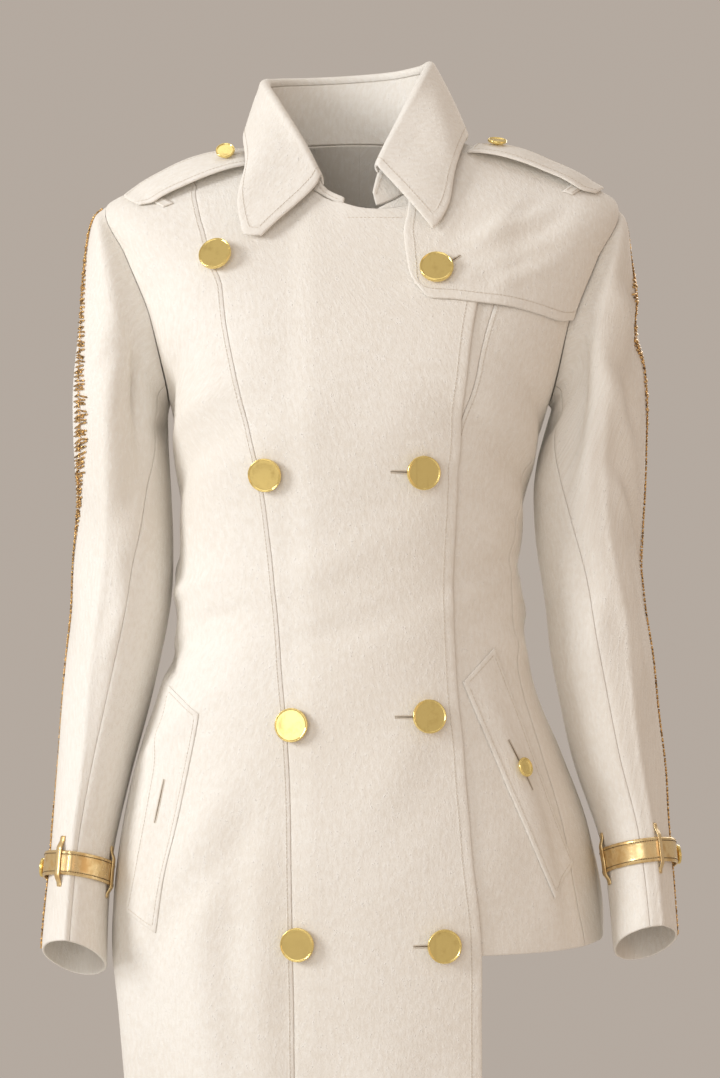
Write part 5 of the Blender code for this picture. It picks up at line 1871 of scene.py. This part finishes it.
@dataclass
class ShoulderStraps:
    """The shoulder straps, each tucked through a loop at the shoulder and buttoned near the collar."""

    forward: dict[Side, float] = field(default_factory=lambda: {Side.RIGHT: 21.5, Side.LEFT: 11.0})
    button_at: dict[Side, float] = field(default_factory=lambda: {Side.RIGHT: 0.76, Side.LEFT: 0.8})
    button_lean: dict[Side, float] = field(default_factory=lambda: {Side.RIGHT: 0.6, Side.LEFT: 0.08})
    button_lift: dict[Side, float] = field(default_factory=lambda: {Side.RIGHT: 1.6 * MM, Side.LEFT: 0.0})
    outer: float = -98.0
    inner: float = -60.5
    rest: float = 0.4 * MM
    width: float = 37 * MM
    wall: float = 1.8 * MM
    arch: float = 7.5 * MM
    loop_at: float = 0.11
    loop_width: float = 8 * MM
    loop_wall: float = 1.4 * MM
    loop_shows: float = 6.5 * MM
    inset: float = 4.5 * MM

    def cut(self, side: Side, along: Array, across: Array) -> Array:
        """Places on the body under a strap.

        Args:
            side: which strap.
            along: share from the shoulder to the neck.
            across: distance from its middle line, in metres.

        Returns:
            Rows of turn and level.
        """
        turn = side.value * math.radians(90 - self.forward[side])
        level = (self.outer + (self.inner - self.outer) * along**0.8) * MM
        step = 1e-3
        run = np.linalg.norm(FORM.base(turn + step, level) - FORM.base(turn - step, level), axis=-1)
        return np.stack([turn + across / run * 2 * step, level], -1)

    def rise(self, side: Side, cut: Array, along: Array) -> Array:
        """How far the strap's outside lies above the body: it arches by a power of a sine between its ends.

        Args:
            side: which strap.
            cut: turns and levels.
            along: share from the shoulder to the neck.

        Returns:
            Height at each place.
        """
        arch = self.arch * np.sin(math.pi * np.clip((along - 0.06) / 0.94, 0, 1)) ** 0.9
        below = StormFlap.rise(FORM.on(cut)) if side is Side.LEFT else 0.0
        over_loop = (self.loop_wall + 0.3 * MM) * np.exp(-(((along - self.loop_at) / 0.13) ** 2))
        return below + 2 * self.rest + self.wall + arch + over_loop

    def points(
        self, side: Side, along: Array, across: Array, extra: Array | float = 0.0
    ) -> tuple[Array, Array]:
        """Outside of a strap and its normals there, extra metres above its usual height."""
        cut = self.cut(side, along, across)
        return FORM.raised(FORM.skin, cut, self.rise(side, cut, along) + extra)

    def normal(self, side: Side, along: float) -> Array:
        """The strap's own normal on its middle line.

        Args:
            side: which strap.
            along: share from the shoulder to the neck.

        Returns:
            A unit vector.
        """
        at, middle = np.array(along), np.array(0.0)
        by_along = self.points(side, at + 0.01, middle)[0] - self.points(side, at - 0.01, middle)[0]
        by_across = self.points(side, at, middle + MM)[0] - self.points(side, at, middle - MM)[0]
        return unit(np.cross(by_across, by_along))

    def build(self) -> None:
        """Makes the straps, their loops and their buttons."""
        for side in Side:
            along, across = np.broadcast_arrays(
                stops(0.11, 40)[:, None], (stops(self.width, 12)[None, :] - 0.5) * self.width
            )
            wavy = 0.35 * MM * np.sin(along * 9 + across / MM * 0.08 + side.value)
            taper = (1 - 0.1 * along) * (1 - 0.3 * (1 - np.clip(along / 0.07, 0, 1)) ** 2)
            points, normals = self.points(side, along, across * taper, wavy)
            strap = Cloth(
                f"cloth_epaulette_{side.word}", points, normals, ALL_FREE,
                {"left": self.inset, "right": self.inset, "top": 3.0 * MM},
                wall=self.wall, flat=(0.043, 0.125), rests_on=(f"cloth_epaulette_loop_{side.word}",),
            )
            self.loop(side)
            strap.build(f"epaulette_{side.word}")
            at = self.button_at[side]
            foot = self.points(side, np.array(at), np.array(0.0))[0]
            normal = self.normal(side, at)
            facing = normal + self.button_lean[side] * np.array([0.0, -1.0, 0.0])
            lifted = self.rest + self.button_lift[side]
            SMALL_BUTTON.build(f"epaulette_button_{side.word}", foot + normal * lifted, facing)
            run = np.linspace(at - 0.02, at + 0.13, 10)
            line, away = self.points(side, run, np.zeros(10))
            make_slit(f"epaulette_{side.word}", line, away, 0.8 * MM, 1.1 * MM, 0.6 * MM)

    def loop(self, side: Side) -> None:
        """Makes the loop that holds a strap's shoulder end.

        Args:
            side: which strap.
        """
        run = self.loop_width / (110 * MM) / 2
        across = np.linspace(-1, 1, 61) * (self.width / 2 + self.loop_shows)
        along, across = np.broadcast_arrays(
            np.linspace(self.loop_at - run, self.loop_at + run, 7)[:, None], across[None, :]
        )
        cut = self.cut(side, along, across)
        below = StormFlap.rise(FORM.on(cut)) if side is Side.LEFT else 0.0
        points, normals = FORM.raised(FORM.skin, cut, below + self.rest + self.loop_wall)
        Cloth(
            f"cloth_epaulette_loop_{side.word}", points, normals, ALL_FREE,
            {"bottom": 1.5 * MM, "top": 1.5 * MM}, wall=self.loop_wall, flat=(0.06, 0.01), pitch=2.2 * MM,
        ).build(f"epaulette_loop_{side.word}")


@dataclass(frozen=True)
class Button:
    """A flat disc with a thin rim, on a shank."""

    radius: float
    thick: float
    stand: float
    segments: int

    def build(self, node: str, origin: Array, axis: Array) -> None:
        """Turns the profile round the axis and closes it at both poles.

        Args:
            node: the CAD node that it stands for.
            origin: foot of the shank.
            axis: the way that it faces.
        """
        r, top, low = self.radius / MM, (self.stand + self.thick) / MM, self.stand / MM
        rows = (
            (0, 0), (0.24 * r, 0), (0.26 * r, 0.1), (0.26 * r, low), (0.9 * r, low + 0.15),
            (r - 0.35, low + 0.4), (r - 0.08, low + 0.8), (r, low + 1.1), (r, top - 0.75),
            (r - 0.1, top - 0.35), (r - 0.35, top - 0.08),
            (r - 0.65, top), (r - 0.95, top - 0.1), (r - 1.15, top - 0.4), (r - 1.4, top - 0.55),
            (r - 1.8, top - 0.58), (0.7 * r, top - 0.52), (0.35 * r, top - 0.46), (0, top - 0.44),
        )
        points, faces = turned(np.array(rows) * MM, np.asarray(origin), np.asarray(axis), self.segments)
        made = mesh_object(f"metal_{node}", points, faces)
        close_poles(made)
        dress(made, GOLD_METAL, node)


def close_poles(piece: Piece) -> None:
    """Merges the points that lie on each other at the ends of a turned shape.

    Args:
        piece: the object, which it changes.
    """
    shape = bmesh.new()
    shape.from_mesh(piece.data)
    bmesh.ops.remove_doubles(shape, verts=shape.verts, dist=1e-6)
    bmesh.ops.dissolve_degenerate(shape, edges=shape.edges, dist=1e-7)
    bmesh.ops.recalc_face_normals(shape, faces=shape.faces)
    shape.to_mesh(piece.data)
    shape.free()


BIG_BUTTON = Button(13.0 * MM, 3.6 * MM, 2.2 * MM, 96)
SMALL_BUTTON = Button(7.6 * MM, 2.6 * MM, 1.6 * MM, 64)


@dataclass
class FrontButtons:
    """The two columns of large buttons, the button on the flap and the one on the pocket."""

    right_column: tuple = ((-110, -94), (-70, -261), (-51, -453), (-47, -618))
    left_column: tuple = ((46, -260), (51, -447), (63, -619))
    flap: tuple[float, float] = (58.5, -108)
    pocket: tuple[float, float] = (122.5, -488)
    welt_rise: float = 1.4 * MM
    # name, both ends in mm, surface and rise above it
    slits: tuple = (
        ("left_1", (56, -110), (77, -96.5), FORM.skin, 2 * FORM.layer),
        ("left_2", (22.5, -259), (50, -260), FORM.over),
        ("left_3", (26, -446.5), (54, -447), FORM.over),
        ("left_4", (40, -619.5), (66, -619), FORM.over),
    )
    # how each one leans, across and up, from the top down
    right_leans: tuple = ((-0.2, 0.0), (0.05, -0.02), (0.02, 0.03), (0.04, 0.0))
    left_leans: tuple = ((0.0, 0.03), (0.05, 0.08), (-0.02, 0.10), (-0.03, 0.02))

    def place(
        self, node: str, place: Array, surface: Surface, rise: float, button: Button, lean: tuple
    ) -> None:
        """Sets a button square to the cloth but for its lean.

        Args:
            node: the CAD node that it stands for.
            place: its turn and level.
            surface: the surface that it lies on.
            rise: how far above that the cloth below it lies.
            button: its form.
            lean: how far it tips, across and up.
        """
        origin, normal = FORM.raised(surface, place, rise + BUTTON_REST)
        axis = normal + np.cross([0.0, 0.0, 1.0], normal) * lean[0] + np.array([0, 0, 1.0]) * lean[1]
        button.build(node, origin, axis)

    def build(self) -> None:
        """Makes the buttons and the slits beside them."""
        for row, place in enumerate(FORM.locate(self.right_column), 1):
            self.place(f"button_right_{row}", place, FORM.over, 0.0, BIG_BUTTON, self.right_leans[row - 1])
        flap, pocket = FORM.locate([self.flap, self.pocket])
        self.place("button_left_1", flap, FORM.skin, 2 * FORM.layer, BIG_BUTTON, self.left_leans[0])
        for row, place in enumerate(FORM.locate(self.left_column), 2):
            self.place(f"button_left_{row}", place, FORM.over, 0.0, BIG_BUTTON, self.left_leans[row - 1])
        self.place("pocket_button_left", pocket, FORM.skin, self.welt_rise, SMALL_BUTTON, (0.0, 0.0))
        for slit in self.slits:
            Slit(*slit).build()


# ---------------------------------------------------------------- sleeves


@dataclass
class SleeveForm:
    """The surface of the sleeves, read at (around, ring): around is in degrees from the outside, 90 at the
    front, and ring runs from 0 at the armhole to the number of the table's rows at the cuff."""

    # outer x and z, inner x right and left, inner z, depths of front and back, lift of the front
    rings: tuple = (
        (213, -57, 153.5, 153, -211, -62, 61, 0),
        (219, -92, 153.5, 150, -222, -66, 64, 0),
        (225, -145, 153, 146, -236, -67, 65, 0),
        (229, -196, 152, 142, -253, -65, 64, 0),
        (228, -250, 150.5, 139, -279, -62, 62, 0),
        (227, -302, 149.5, 141, -315, -60, 60, 1),
        (231, -362, 152.5, 148, -367, -58, 58, 2),
        (236, -422, 164, 155.5, -427, -58, 52, 4),
        (241, -492, 182.5, 170.5, -498, -62, 40, 7),
        (244, -550, 195.5, 190, -557, -69, 28, 10),
        (247, -595, 198.5, 196.5, -602, -77, 18, 13),
        (249, -636, 199.5, 199, -644, -86, 8, 20),
    )
    # length as a share of the table's, counted from the height of the top, in mm
    length: dict[Side, float] = field(default_factory=lambda: {Side.RIGHT: 1.0, Side.LEFT: 0.98})
    top: float = -57.0
    hole_rise: float = 1.0 * MM
    # the pressed crease down the front: ring number and degrees
    crease: dict[Side, tuple] = field(
        default_factory=lambda: {
            Side.RIGHT: ((0, 86), (4, 84), (5.3, 79), (6.7, 72), (7.9, 73), (8.7, 80), (12, 84)),
            Side.LEFT: ((0, 82), (5.5, 78), (6.5, 74), (7.7, 67), (8.8, 70), (9.6, 70), (12, 69)),
        }
    )
    crease_height: float = 2.8 * MM
    fold_share: float = 1.6
    folds: dict[Side, tuple[Fold, ...]] = field(
        default_factory=lambda: {
            Side.RIGHT: (
                Fold(112, 2.6, 12, 1.5, 0, 0, -6), Fold(84, 3.4, 16, 1.6, 0, 0, 4),
                Fold(60, 6.2, 20, 0.7, 12, 0, -3), Fold(-70, 6.0, 26, 0.8, -14, 0, -4),
                Fold(-40, 8.2, 24, 0.8, 12, 0, -3), Fold(121, 2.2, 6, 1.2, 2, 0, -3.6, 1.6),
                Fold(109, 2.4, 7, 1.3, 3, 0, 2.2, 1.6), Fold(80, 2.6, 6, 0.45, -8, 0, -2.0),
                Fold(69, 2.85, 6, 0.4, -8, 0, 1.6), Fold(104, 5.2, 9, 0.5, -9, 0, -1.6),
                Fold(112, 6.6, 10, 0.4, 8, 0, -1.8), Fold(96, 7.3, 9, 0.4, -8, 0, 1.3),
                Fold(40, 5.2, 12, 0.4, 10, 0, 1.2), Fold(20, 7.2, 16, 0.35, 9, 0, -1.2),
                Fold(-30, 5.4, 14, 0.4, -10, 0, 1.8), Fold(-60, 6.8, 14, 0.35, 12, 0, 2.0),
                Fold(-92, 5.3, 14, 0.4, 10, 0, -2.2), Fold(-100, 3.2, 8, 1.1, 4, 0, -2.6, 1.5),
                Fold(-72, 2.6, 9, 1.0, -6, 0, 2.0), Fold(-140, 2.2, 12, 0.6, 8, 0, -2.4),
                Fold(160, 2.4, 12, 0.5, -8, 0, -2.2), Fold(-20, 9.6, 14, 0.4, 8, 0, 1.2),
                Fold(-76, 8.9, 12, 0.4, -8, 0, -1.6), Fold(52, 11.4, 12, 0.35, 6, 0, -0.8),
            ),
            Side.LEFT: (
                Fold(118, 2.4, 12, 1.4, 0, 0, -5), Fold(28, 3.3, 18, 1.1, 24, 0, -5),
                Fold(30, 6.2, 18, 0.8, -16, 0, -5), Fold(-66, 6.1, 26, 0.8, 14, 0, -4),
                Fold(34, 8.4, 16, 0.9, 10, 0, -3), Fold(63, 3.85, 6.5, 0.75, -16, 0, 3.4, 0.8),
                Fold(48, 4.0, 8, 0.75, -16, 0, -2.8), Fold(49, 2.4, 6.5, 0.55, -11, 0, 3.4, 0.8),
                Fold(35, 2.5, 8, 0.55, -11, 0, -2.8), Fold(48, 5.7, 7, 0.5, -20, 0, 3.2, 0.8),
                Fold(33, 5.85, 8, 0.5, -20, 0, -2.6), Fold(22, 2.7, 9, 0.35, 4, 0, 3.4),
                Fold(112, 3.6, 7, 1.1, 3, 0, -2.4, 1.5), Fold(100, 4.8, 8, 0.8, -5, 0, 1.6),
                Fold(112, 6.5, 10, 0.4, -8, 0, -2.0), Fold(100, 7.4, 9, 0.4, 8, 0, 1.4),
                Fold(52, 7.6, 10, 0.4, -12, 0, 1.3), Fold(-34, 5.3, 14, 0.4, 10, 0, 2.0),
                Fold(-64, 6.9, 14, 0.35, -12, 0, 1.8), Fold(-94, 5.4, 14, 0.4, -10, 0, -2.4),
                Fold(-98, 3.1, 8, 1.1, -4, 0, -2.4, 1.5), Fold(-74, 2.5, 9, 1.0, 6, 0, 2.2),
                Fold(-142, 2.3, 12, 0.6, -8, 0, -2.2), Fold(158, 2.3, 12, 0.5, 8, 0, -2.4),
                Fold(-24, 9.5, 14, 0.4, -8, 0, 1.4), Fold(46, 11.3, 12, 0.35, -6, 0, -0.8),
            ),
        }
    )

    def base(self, side: Side, around: Array, ring: Array) -> Array:
        """Rings that are ellipses, joined by cubic curves; ring 0 is the armhole's loop on the body.

        Args:
            side: which sleeve.
            around: degrees from the outside.
            ring: ring number.

        Returns:
            Points.
        """
        around, ring = np.broadcast_arrays(np.asarray(around, float), np.asarray(ring, float))
        b = np.radians(around)
        hole = FORM.armhole(side.value, around)
        low = self.hole_rise * ease(-np.cos(b), 0, 1)[..., None]
        turn, level = hole[..., 0], hole[..., 1]
        rings = [FORM.skin(turn, level) + FORM.normals(FORM.skin, turn, level) * low]
        for outer_x, outer_z, inner_right, inner_left, inner_z, front_y, back_y, lift in self.rings:
            inner_x = inner_right if side is Side.RIGHT else inner_left
            x = (outer_x + inner_x) / 2 + (outer_x - inner_x) / 2 * np.cos(b)
            z = (outer_z + inner_z) / 2 + (outer_z - inner_z) / 2 * np.cos(b) + lift * np.sin(b)
            z = self.top + (z - self.top) * self.length[side]
            y = (front_y + back_y) / 2 - (back_y - front_y) / 2 * np.sin(b)
            rings.append(np.stack([side.value * x, y, z], -1) * MM)
        rings = np.stack(rings)
        slopes = np.gradient(rings, axis=0)
        row = np.clip(ring.astype(int), 0, len(rings) - 2)
        t = (ring - row)[..., None]
        start, end, start_slope, end_slope = (
            np.take_along_axis(source, (row + step)[None, ..., None], 0)[0]
            for source, step in ((rings, 0), (rings, 1), (slopes, 0), (slopes, 1))
        )
        return hermite(t, start, end, start_slope, end_slope)

    def skin(self, side: Side, around: Array, ring: Array, rise: Array | float = 0.0) -> tuple[Array, Array]:
        """The sleeve with its folds and its pressed crease, moved out by rise.

        Args:
            side: which sleeve.
            around: degrees from the outside.
            ring: ring number.
            rise: distance above the cloth.

        Returns:
            Points and normals.
        """
        around, ring = np.broadcast_arrays(np.asarray(around, float), np.asarray(ring, float))
        held = np.clip(ring, 0.02, len(self.rings) - 0.02)
        by_round = self.base(side, around + 0.5, held) - self.base(side, around - 0.5, held)
        by_ring = self.base(side, around, held + 0.01) - self.base(side, around, held - 0.01)
        normal = unit(np.cross(by_round, by_ring) * side.value)
        degrees = (around + 180) % 360 - 180
        table = np.array(self.crease[side], float)
        middle = curve(table[:, 0], table[:, 1], ring)
        crease = self.crease_height * np.exp(-(np.abs(degrees - middle) / 5.0) ** 1.2) * ease(ring, 2.0, 5.0)
        base = self.base(side, around, ring)
        folds = self.fold_share * fold_height(self.folds[side], degrees, ring)
        height = (folds + crease + unevenness(base, UNEVEN)) * ease(ring, 0.2, 1.6)
        return base + normal * (height + rise)[..., None], normal


SLEEVE = SleeveForm()


def on_sleeve(
    name: str, side: Side, around: Array, ring: Array, rise: Array | float, edges: dict[str, Edge],
    stitches: dict[str, float], node: str, **facts: object,
) -> None:
    """Builds a piece of cloth on a sleeve; rows run down it, columns round it.

    Args:
        name: name of the piece.
        side: which sleeve.
        around: degrees of the grid.
        ring: ring numbers of the grid.
        rise: distance of the outside above the sleeve.
        edges: finish of each border.
        stitches: insets of its stitch lines.
        node: the CAD node that it stands for.
        facts: further fields of Cloth.
    """
    points, normals = SLEEVE.skin(side, around, ring, rise)
    if side is Side.RIGHT:
        points, normals = points[:, ::-1], normals[:, ::-1]
        swap = {"left": "right", "right": "left"}
        edges = {swap.get(border, border): kind for border, kind in edges.items()}
        stitches = {swap.get(border, border): inset for border, inset in stitches.items()}
    Cloth(name, points, normals, edges, stitches, **facts).build(node)


@dataclass
class Sleeves:
    """The upper and under pieces of both sleeves."""

    front_seam: tuple = (144, 146, 147, 146, 140, 127, 114, 104, 99, 96, 94, 93, 92)
    back_seam: tuple = (-108, -108, -109, -110, -112, -114, -116, -118, -120, -122, -123, -124, -124)

    def build(self) -> None:
        """Makes the four pieces."""
        rings = stops(0.62, 132) ** 1.04 * len(SLEEVE.rings)
        stations = np.arange(len(self.front_seam))
        front = curve(stations, np.array(self.front_seam, float), rings)[:, None]
        back = curve(stations, np.array(self.back_seam, float), rings)[:, None]
        edges = sewn_at("left", "right", "bottom")
        parts = (
            ("upper_sleeve", back, front, stops(0.16, 52), (0.21, 0.63)),
            ("under_sleeve", front, back + 360, stops(0.10, 30), (0.15, 0.50)),
        )
        for side in Side:
            for name, first, last, share, flat in parts:
                around = (1 - share) * first + share * last
                ring = np.broadcast_to(rings[:, None], around.shape)
                node = f"{name}_{side.word}"
                on_sleeve(
                    f"cloth_{node}", side, around, ring, 0.0, edges, {}, node,
                    flat=flat, mitre={"bottom": 0.5 * MM}, quiet=("bottom",),
                )


@dataclass
class BeadBand:
    """A band of short tube beads down the outside of each sleeve, set slantwise to both sides of a spine.

    Each row of the table holds a ring number, the spine's place round the sleeve in degrees and the length of
    the beads in mm.
    """

    table: dict[Side, tuple] = field(
        default_factory=lambda: {
            Side.RIGHT: (
                (0.25, -2, 2.2), (1.0, 2, 3.2), (1.8, 14, 6.0), (2.5, 27, 8.2), (3.3, 36, 9.6),
                (4.3, 42, 10.4),
                (5.0, 38, 9.0), (5.6, 24, 6.0), (6.3, 8, 3.2), (8.0, 1, 2.4), (12.0, 0, 2.2),
            ),
            Side.LEFT: (
                (0.25, -8, 2.2), (1.5, -2, 2.8), (2.0, 8, 5.5), (2.4, 20, 9.5), (2.65, 16, 6.0),
                (2.9, 9, 4.4),
                (3.1, 13, 6.0), (3.5, 5, 4.0), (4.2, 8, 5.4), (4.7, 0, 3.6), (6.3, -3, 2.8), (8.0, -2, 2.4),
                (12.0, -2, 2.2),
            ),
        }
    )
    radius: float = 0.85 * MM
    pitch: float = 3.9 * MM
    slant: float = 24.0
    # the short beads on the spine itself
    seed_pitch: float = 2.3 * MM
    seed_half: float = 0.75 * MM

    def spine(self, side: Side, ring: Array) -> tuple[Array, Array]:
        """The spine's place round the sleeve and the beads' length, at ring numbers."""
        rows = np.array(self.table[side], float)
        return curve(rows[:, 0], rows[:, 1], ring), curve(rows[:, 0], rows[:, 2], ring) * MM

    def build(self) -> None:
        """Makes the beads of both sleeves, one piece a sleeve."""
        for side in Side:
            fine = np.linspace(0.25, 11.95, 800)
            line = SLEEVE.skin(side, self.spine(side, fine)[0], fine)[0]
            run = arc_length(line)
            count = int(run[-1] / self.pitch)
            wander = np.random.default_rng(7 + side.value)
            at = np.interp((np.arange(count) + 0.5) * self.pitch, run, fine)
            degrees, length = self.spine(side, at)
            per_metre = 1 / np.interp(at, fine, np.gradient(run, fine))
            thick = np.linalg.norm(SLEEVE.base(side, 0.0, at) - SLEEVE.base(side, 180.0, at), axis=-1)
            rate = np.degrees(1.0) / (0.5 * thick)
            starts, ends = [], []
            for way in (1, -1):
                for layer in (0, 1):
                    wide = ease(length / MM, 3.0, 6.0)
                    reach = length * (1 + 0.14 * wander.standard_normal(count)) * (1.0, 0.62)[layer]
                    slant = np.radians(self.slant + 4 * wander.standard_normal(count))
                    shift = (wander.uniform(-0.16, 0.16, count) + 0.5 * layer) * self.pitch
                    first = 0.12 * length * wander.uniform(0.2, 1.0, count) * wide
                    ring = at + shift * per_metre
                    near = SLEEVE.skin(
                        side, degrees + way * first * np.cos(slant) * rate,
                        ring - way * first * np.sin(slant) * per_metre, self.radius * (1.3 + 1.1 * layer),
                    )[0]
                    far_ring = ring - way * (first + reach) * np.sin(slant) * per_metre
                    far = SLEEVE.skin(
                        side, degrees + way * (first + reach) * np.cos(slant) * rate,
                        np.clip(far_ring, 0.05, 11.97), self.radius * 1.3,
                    )[0]
                    kept = np.ones(count, bool) if layer == 0 else (wide > 0.3) & (np.arange(count) % 3 == 0)
                    starts.append(near[kept])
                    ends.append(far[kept])
            seed = np.interp(np.arange(0.5, run[-1] / self.seed_pitch - 0.5) * self.seed_pitch, run, fine)
            away = SLEEVE.skin(side, self.spine(side, seed)[0], seed, self.radius * 1.5)[0]
            step = unit(np.gradient(away, axis=0)) * self.seed_half
            made = tubes(
                f"beads_{side.word}", np.concatenate([*starts, away - step]),
                np.concatenate([*ends, away + step]), self.radius, 6, 0.12,
            )
            dress(made, BEAD_GOLD)


@dataclass
class CuffStraps:
    """The gold straps round the cuffs, each with two keepers, a pointed end and a button."""

    ring: float = 10.42
    width: float = 18 * MM
    wall: float = 1.6 * MM
    start: float = -36.0
    end: float = 344.0
    button: float = -14.0
    keepers: tuple[tuple[str, float], ...] = (("outer", 64.0), ("inner", 166.0))
    keeper_length: float = 38 * MM
    keeper_width: float = 6 * MM
    keeper_wall: float = 1.2 * MM
    rest: float = 1.0 * MM
    inset: float = 2.2 * MM
    cuff_radius: float = 38 * MM
    # the strap's width at its end, as a share, and how far it widens, in degrees
    tip_share: float = 0.12
    tip_reach: float = 12.0
    # where the upper end of the strap comes down beside the lower one, in degrees
    step_down: tuple[float, float] = (26, 56)
    over_gap: float = 0.7 * MM
    keeper_gap: float = 0.15 * MM
    keeper_bend: tuple[float, float] = (0.52, 0.9)

    def build(self) -> None:
        """Makes both straps with their keepers and buttons."""
        low = self.rest + self.wall
        over = self.wall + self.over_gap
        for side in Side:
            step = SLEEVE.base(side, 90.0, self.ring + 0.2) - SLEEVE.base(side, 90.0, self.ring - 0.2)
            scale = 0.4 / np.linalg.norm(step)
            tip, band = np.linspace(self.start, -23, 9), np.linspace(-20, self.end, 118)
            around = np.concatenate([tip, band])[None, :]
            widened = (1 - self.tip_share) * (around - self.start) / self.tip_reach
            width = np.clip(self.tip_share + widened, self.tip_share, 1)
            down = (stops(self.width, 8)[:, None] - 0.5) * self.width
            around, ring = np.broadcast_arrays(around, self.ring + down * width * scale)
            rise = low + over * (1 - ease(around, *self.step_down))
            on_sleeve(
                f"leather_cuff_strap_{side.word}", side, around, ring, rise, ALL_FREE,
                {"bottom": self.inset, "top": self.inset}, f"cuff_strap_{side.word}", wall=self.wall,
                flat=(0.27, 0.019), pitch=1.9 * MM, thread=GOLD_THREAD, finish=GOLD_LEATHER,
            )
            for name, middle in self.keepers:
                half = np.degrees(self.keeper_width / 2 / self.cuff_radius)
                around = np.linspace(middle - half, middle + half, 9)[None, :]
                run = np.linspace(-1, 1, 45)[:, None]
                raised = (1 - ease(np.abs(run), *self.keeper_bend)) * (low + 0.2 * MM)
                around, ring, raised = np.broadcast_arrays(
                    around, self.ring + run * self.keeper_length / 2 * scale, raised
                )
                rise, node = self.keeper_wall + self.keeper_gap + raised, f"cuff_keeper_{name}_{side.word}"
                on_sleeve(
                    f"leather_{node}", side, around, ring, rise, ALL_FREE, {}, node, wall=self.keeper_wall,
                    flat=(0.0105, 0.041), finish=GOLD_LEATHER,
                )
            height = low + over + BUTTON_REST
            origin, normal = SLEEVE.skin(side, np.array(self.button), np.array(self.ring), height)
            SMALL_BUTTON.build(f"cuff_button_{side.word}", origin, normal)


# ---------------------------------------------------------------- stage


@dataclass
class Stage:
    """A plain pale floor, soft lights and the camera at the photograph's angle."""

    distance: float = 2.2
    height: float = -0.311
    lens: float = 91.8
    floor_z: float = -1.42
    floor_radius: float = 2.9
    floor_colour: Colour = (0.62, 0.59, 0.55)
    aim: tuple[float, float, float] = (0.0, 0.0, -0.35)
    backdrop: tuple[float, float, float] = (0.458, 0.400, 0.350)
    # name, place, size in metres, power in watts and colour
    lights: tuple = (
        ("key", (-2.6, -1.3, 0.6), 1.0, 53.0, (0.98, 0.99, 1.0)),
        ("front", (-0.9, -2.9, 0.2), 2.0, 22.0, (1.0, 0.995, 0.99)),
        ("fill", (1.9, -1.3, -0.25), 1.4, 5.0, (1.0, 0.62, 0.38)),
        ("top", (0.0, 0.2, 1.7), 1.4, 6.0, (1.0, 0.99, 0.98)),
        ("back", (0.9, 2.4, 0.5), 1.6, 26.0, (1.0, 0.98, 0.95)),
    )

    def build(self) -> None:
        """Makes the stage."""
        scene = bpy.context.scene
        scene.view_settings.view_transform = "Standard"
        world = bpy.data.worlds.new("studio")
        world.use_nodes = True
        world.node_tree.nodes["Background"].inputs["Color"].default_value = (*self.backdrop, 1)
        scene.world = world
        profile = np.array([[0.0, 0.0], [0.4, 0.0], [0.97, 0.0], [1.0, -0.01]]) * self.floor_radius
        points, faces = turned(profile[::-1], np.array([0, 0, self.floor_z]), np.array([0.0, 1e-6, 1.0]), 96)
        floor = mesh_object("floor", points, faces)
        close_poles(floor)
        material, tree, shader = new_material("pale floor")
        fill(tree, shader, Base_Color=(*self.floor_colour, 1), Roughness=0.9)
        floor.data.materials.append(material)
        for name, place, size, power, colour in self.lights:
            lamp = bpy.data.lights.new(name, "AREA")
            lamp.shape, lamp.size, lamp.energy, lamp.color = "SQUARE", size, power, colour
            made = bpy.data.objects.new(name, lamp)
            made.location = place
            made.rotation_euler = (Vector(self.aim) - Vector(place)).to_track_quat("-Z", "Y").to_euler()
            scene.collection.objects.link(made)
        lens = bpy.data.cameras.new("camera")
        lens.lens, lens.sensor_width, lens.sensor_fit, lens.clip_start = self.lens, 36.0, "AUTO", 0.05
        camera = bpy.data.objects.new("camera", lens)
        camera.location = (0, -self.distance, self.height)
        camera.rotation_euler = (math.pi / 2, 0, 0)
        scene.collection.objects.link(camera)
        scene.camera = camera


def main() -> None:
    """Builds the coat and its stage."""
    logging.basicConfig(level=logging.INFO, format="%(message)s")
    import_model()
    Stage().build()
    trims = (ShoulderStraps(), FrontButtons(), Sleeves(), BeadBand(), CuffStraps())
    for assembly in (Bodice(), StormFlap(), Pockets(), Collar(), *trims):
        assembly.build()
        LOG.info("%s done", type(assembly).__name__)


if __name__ == "__main__":
    main()
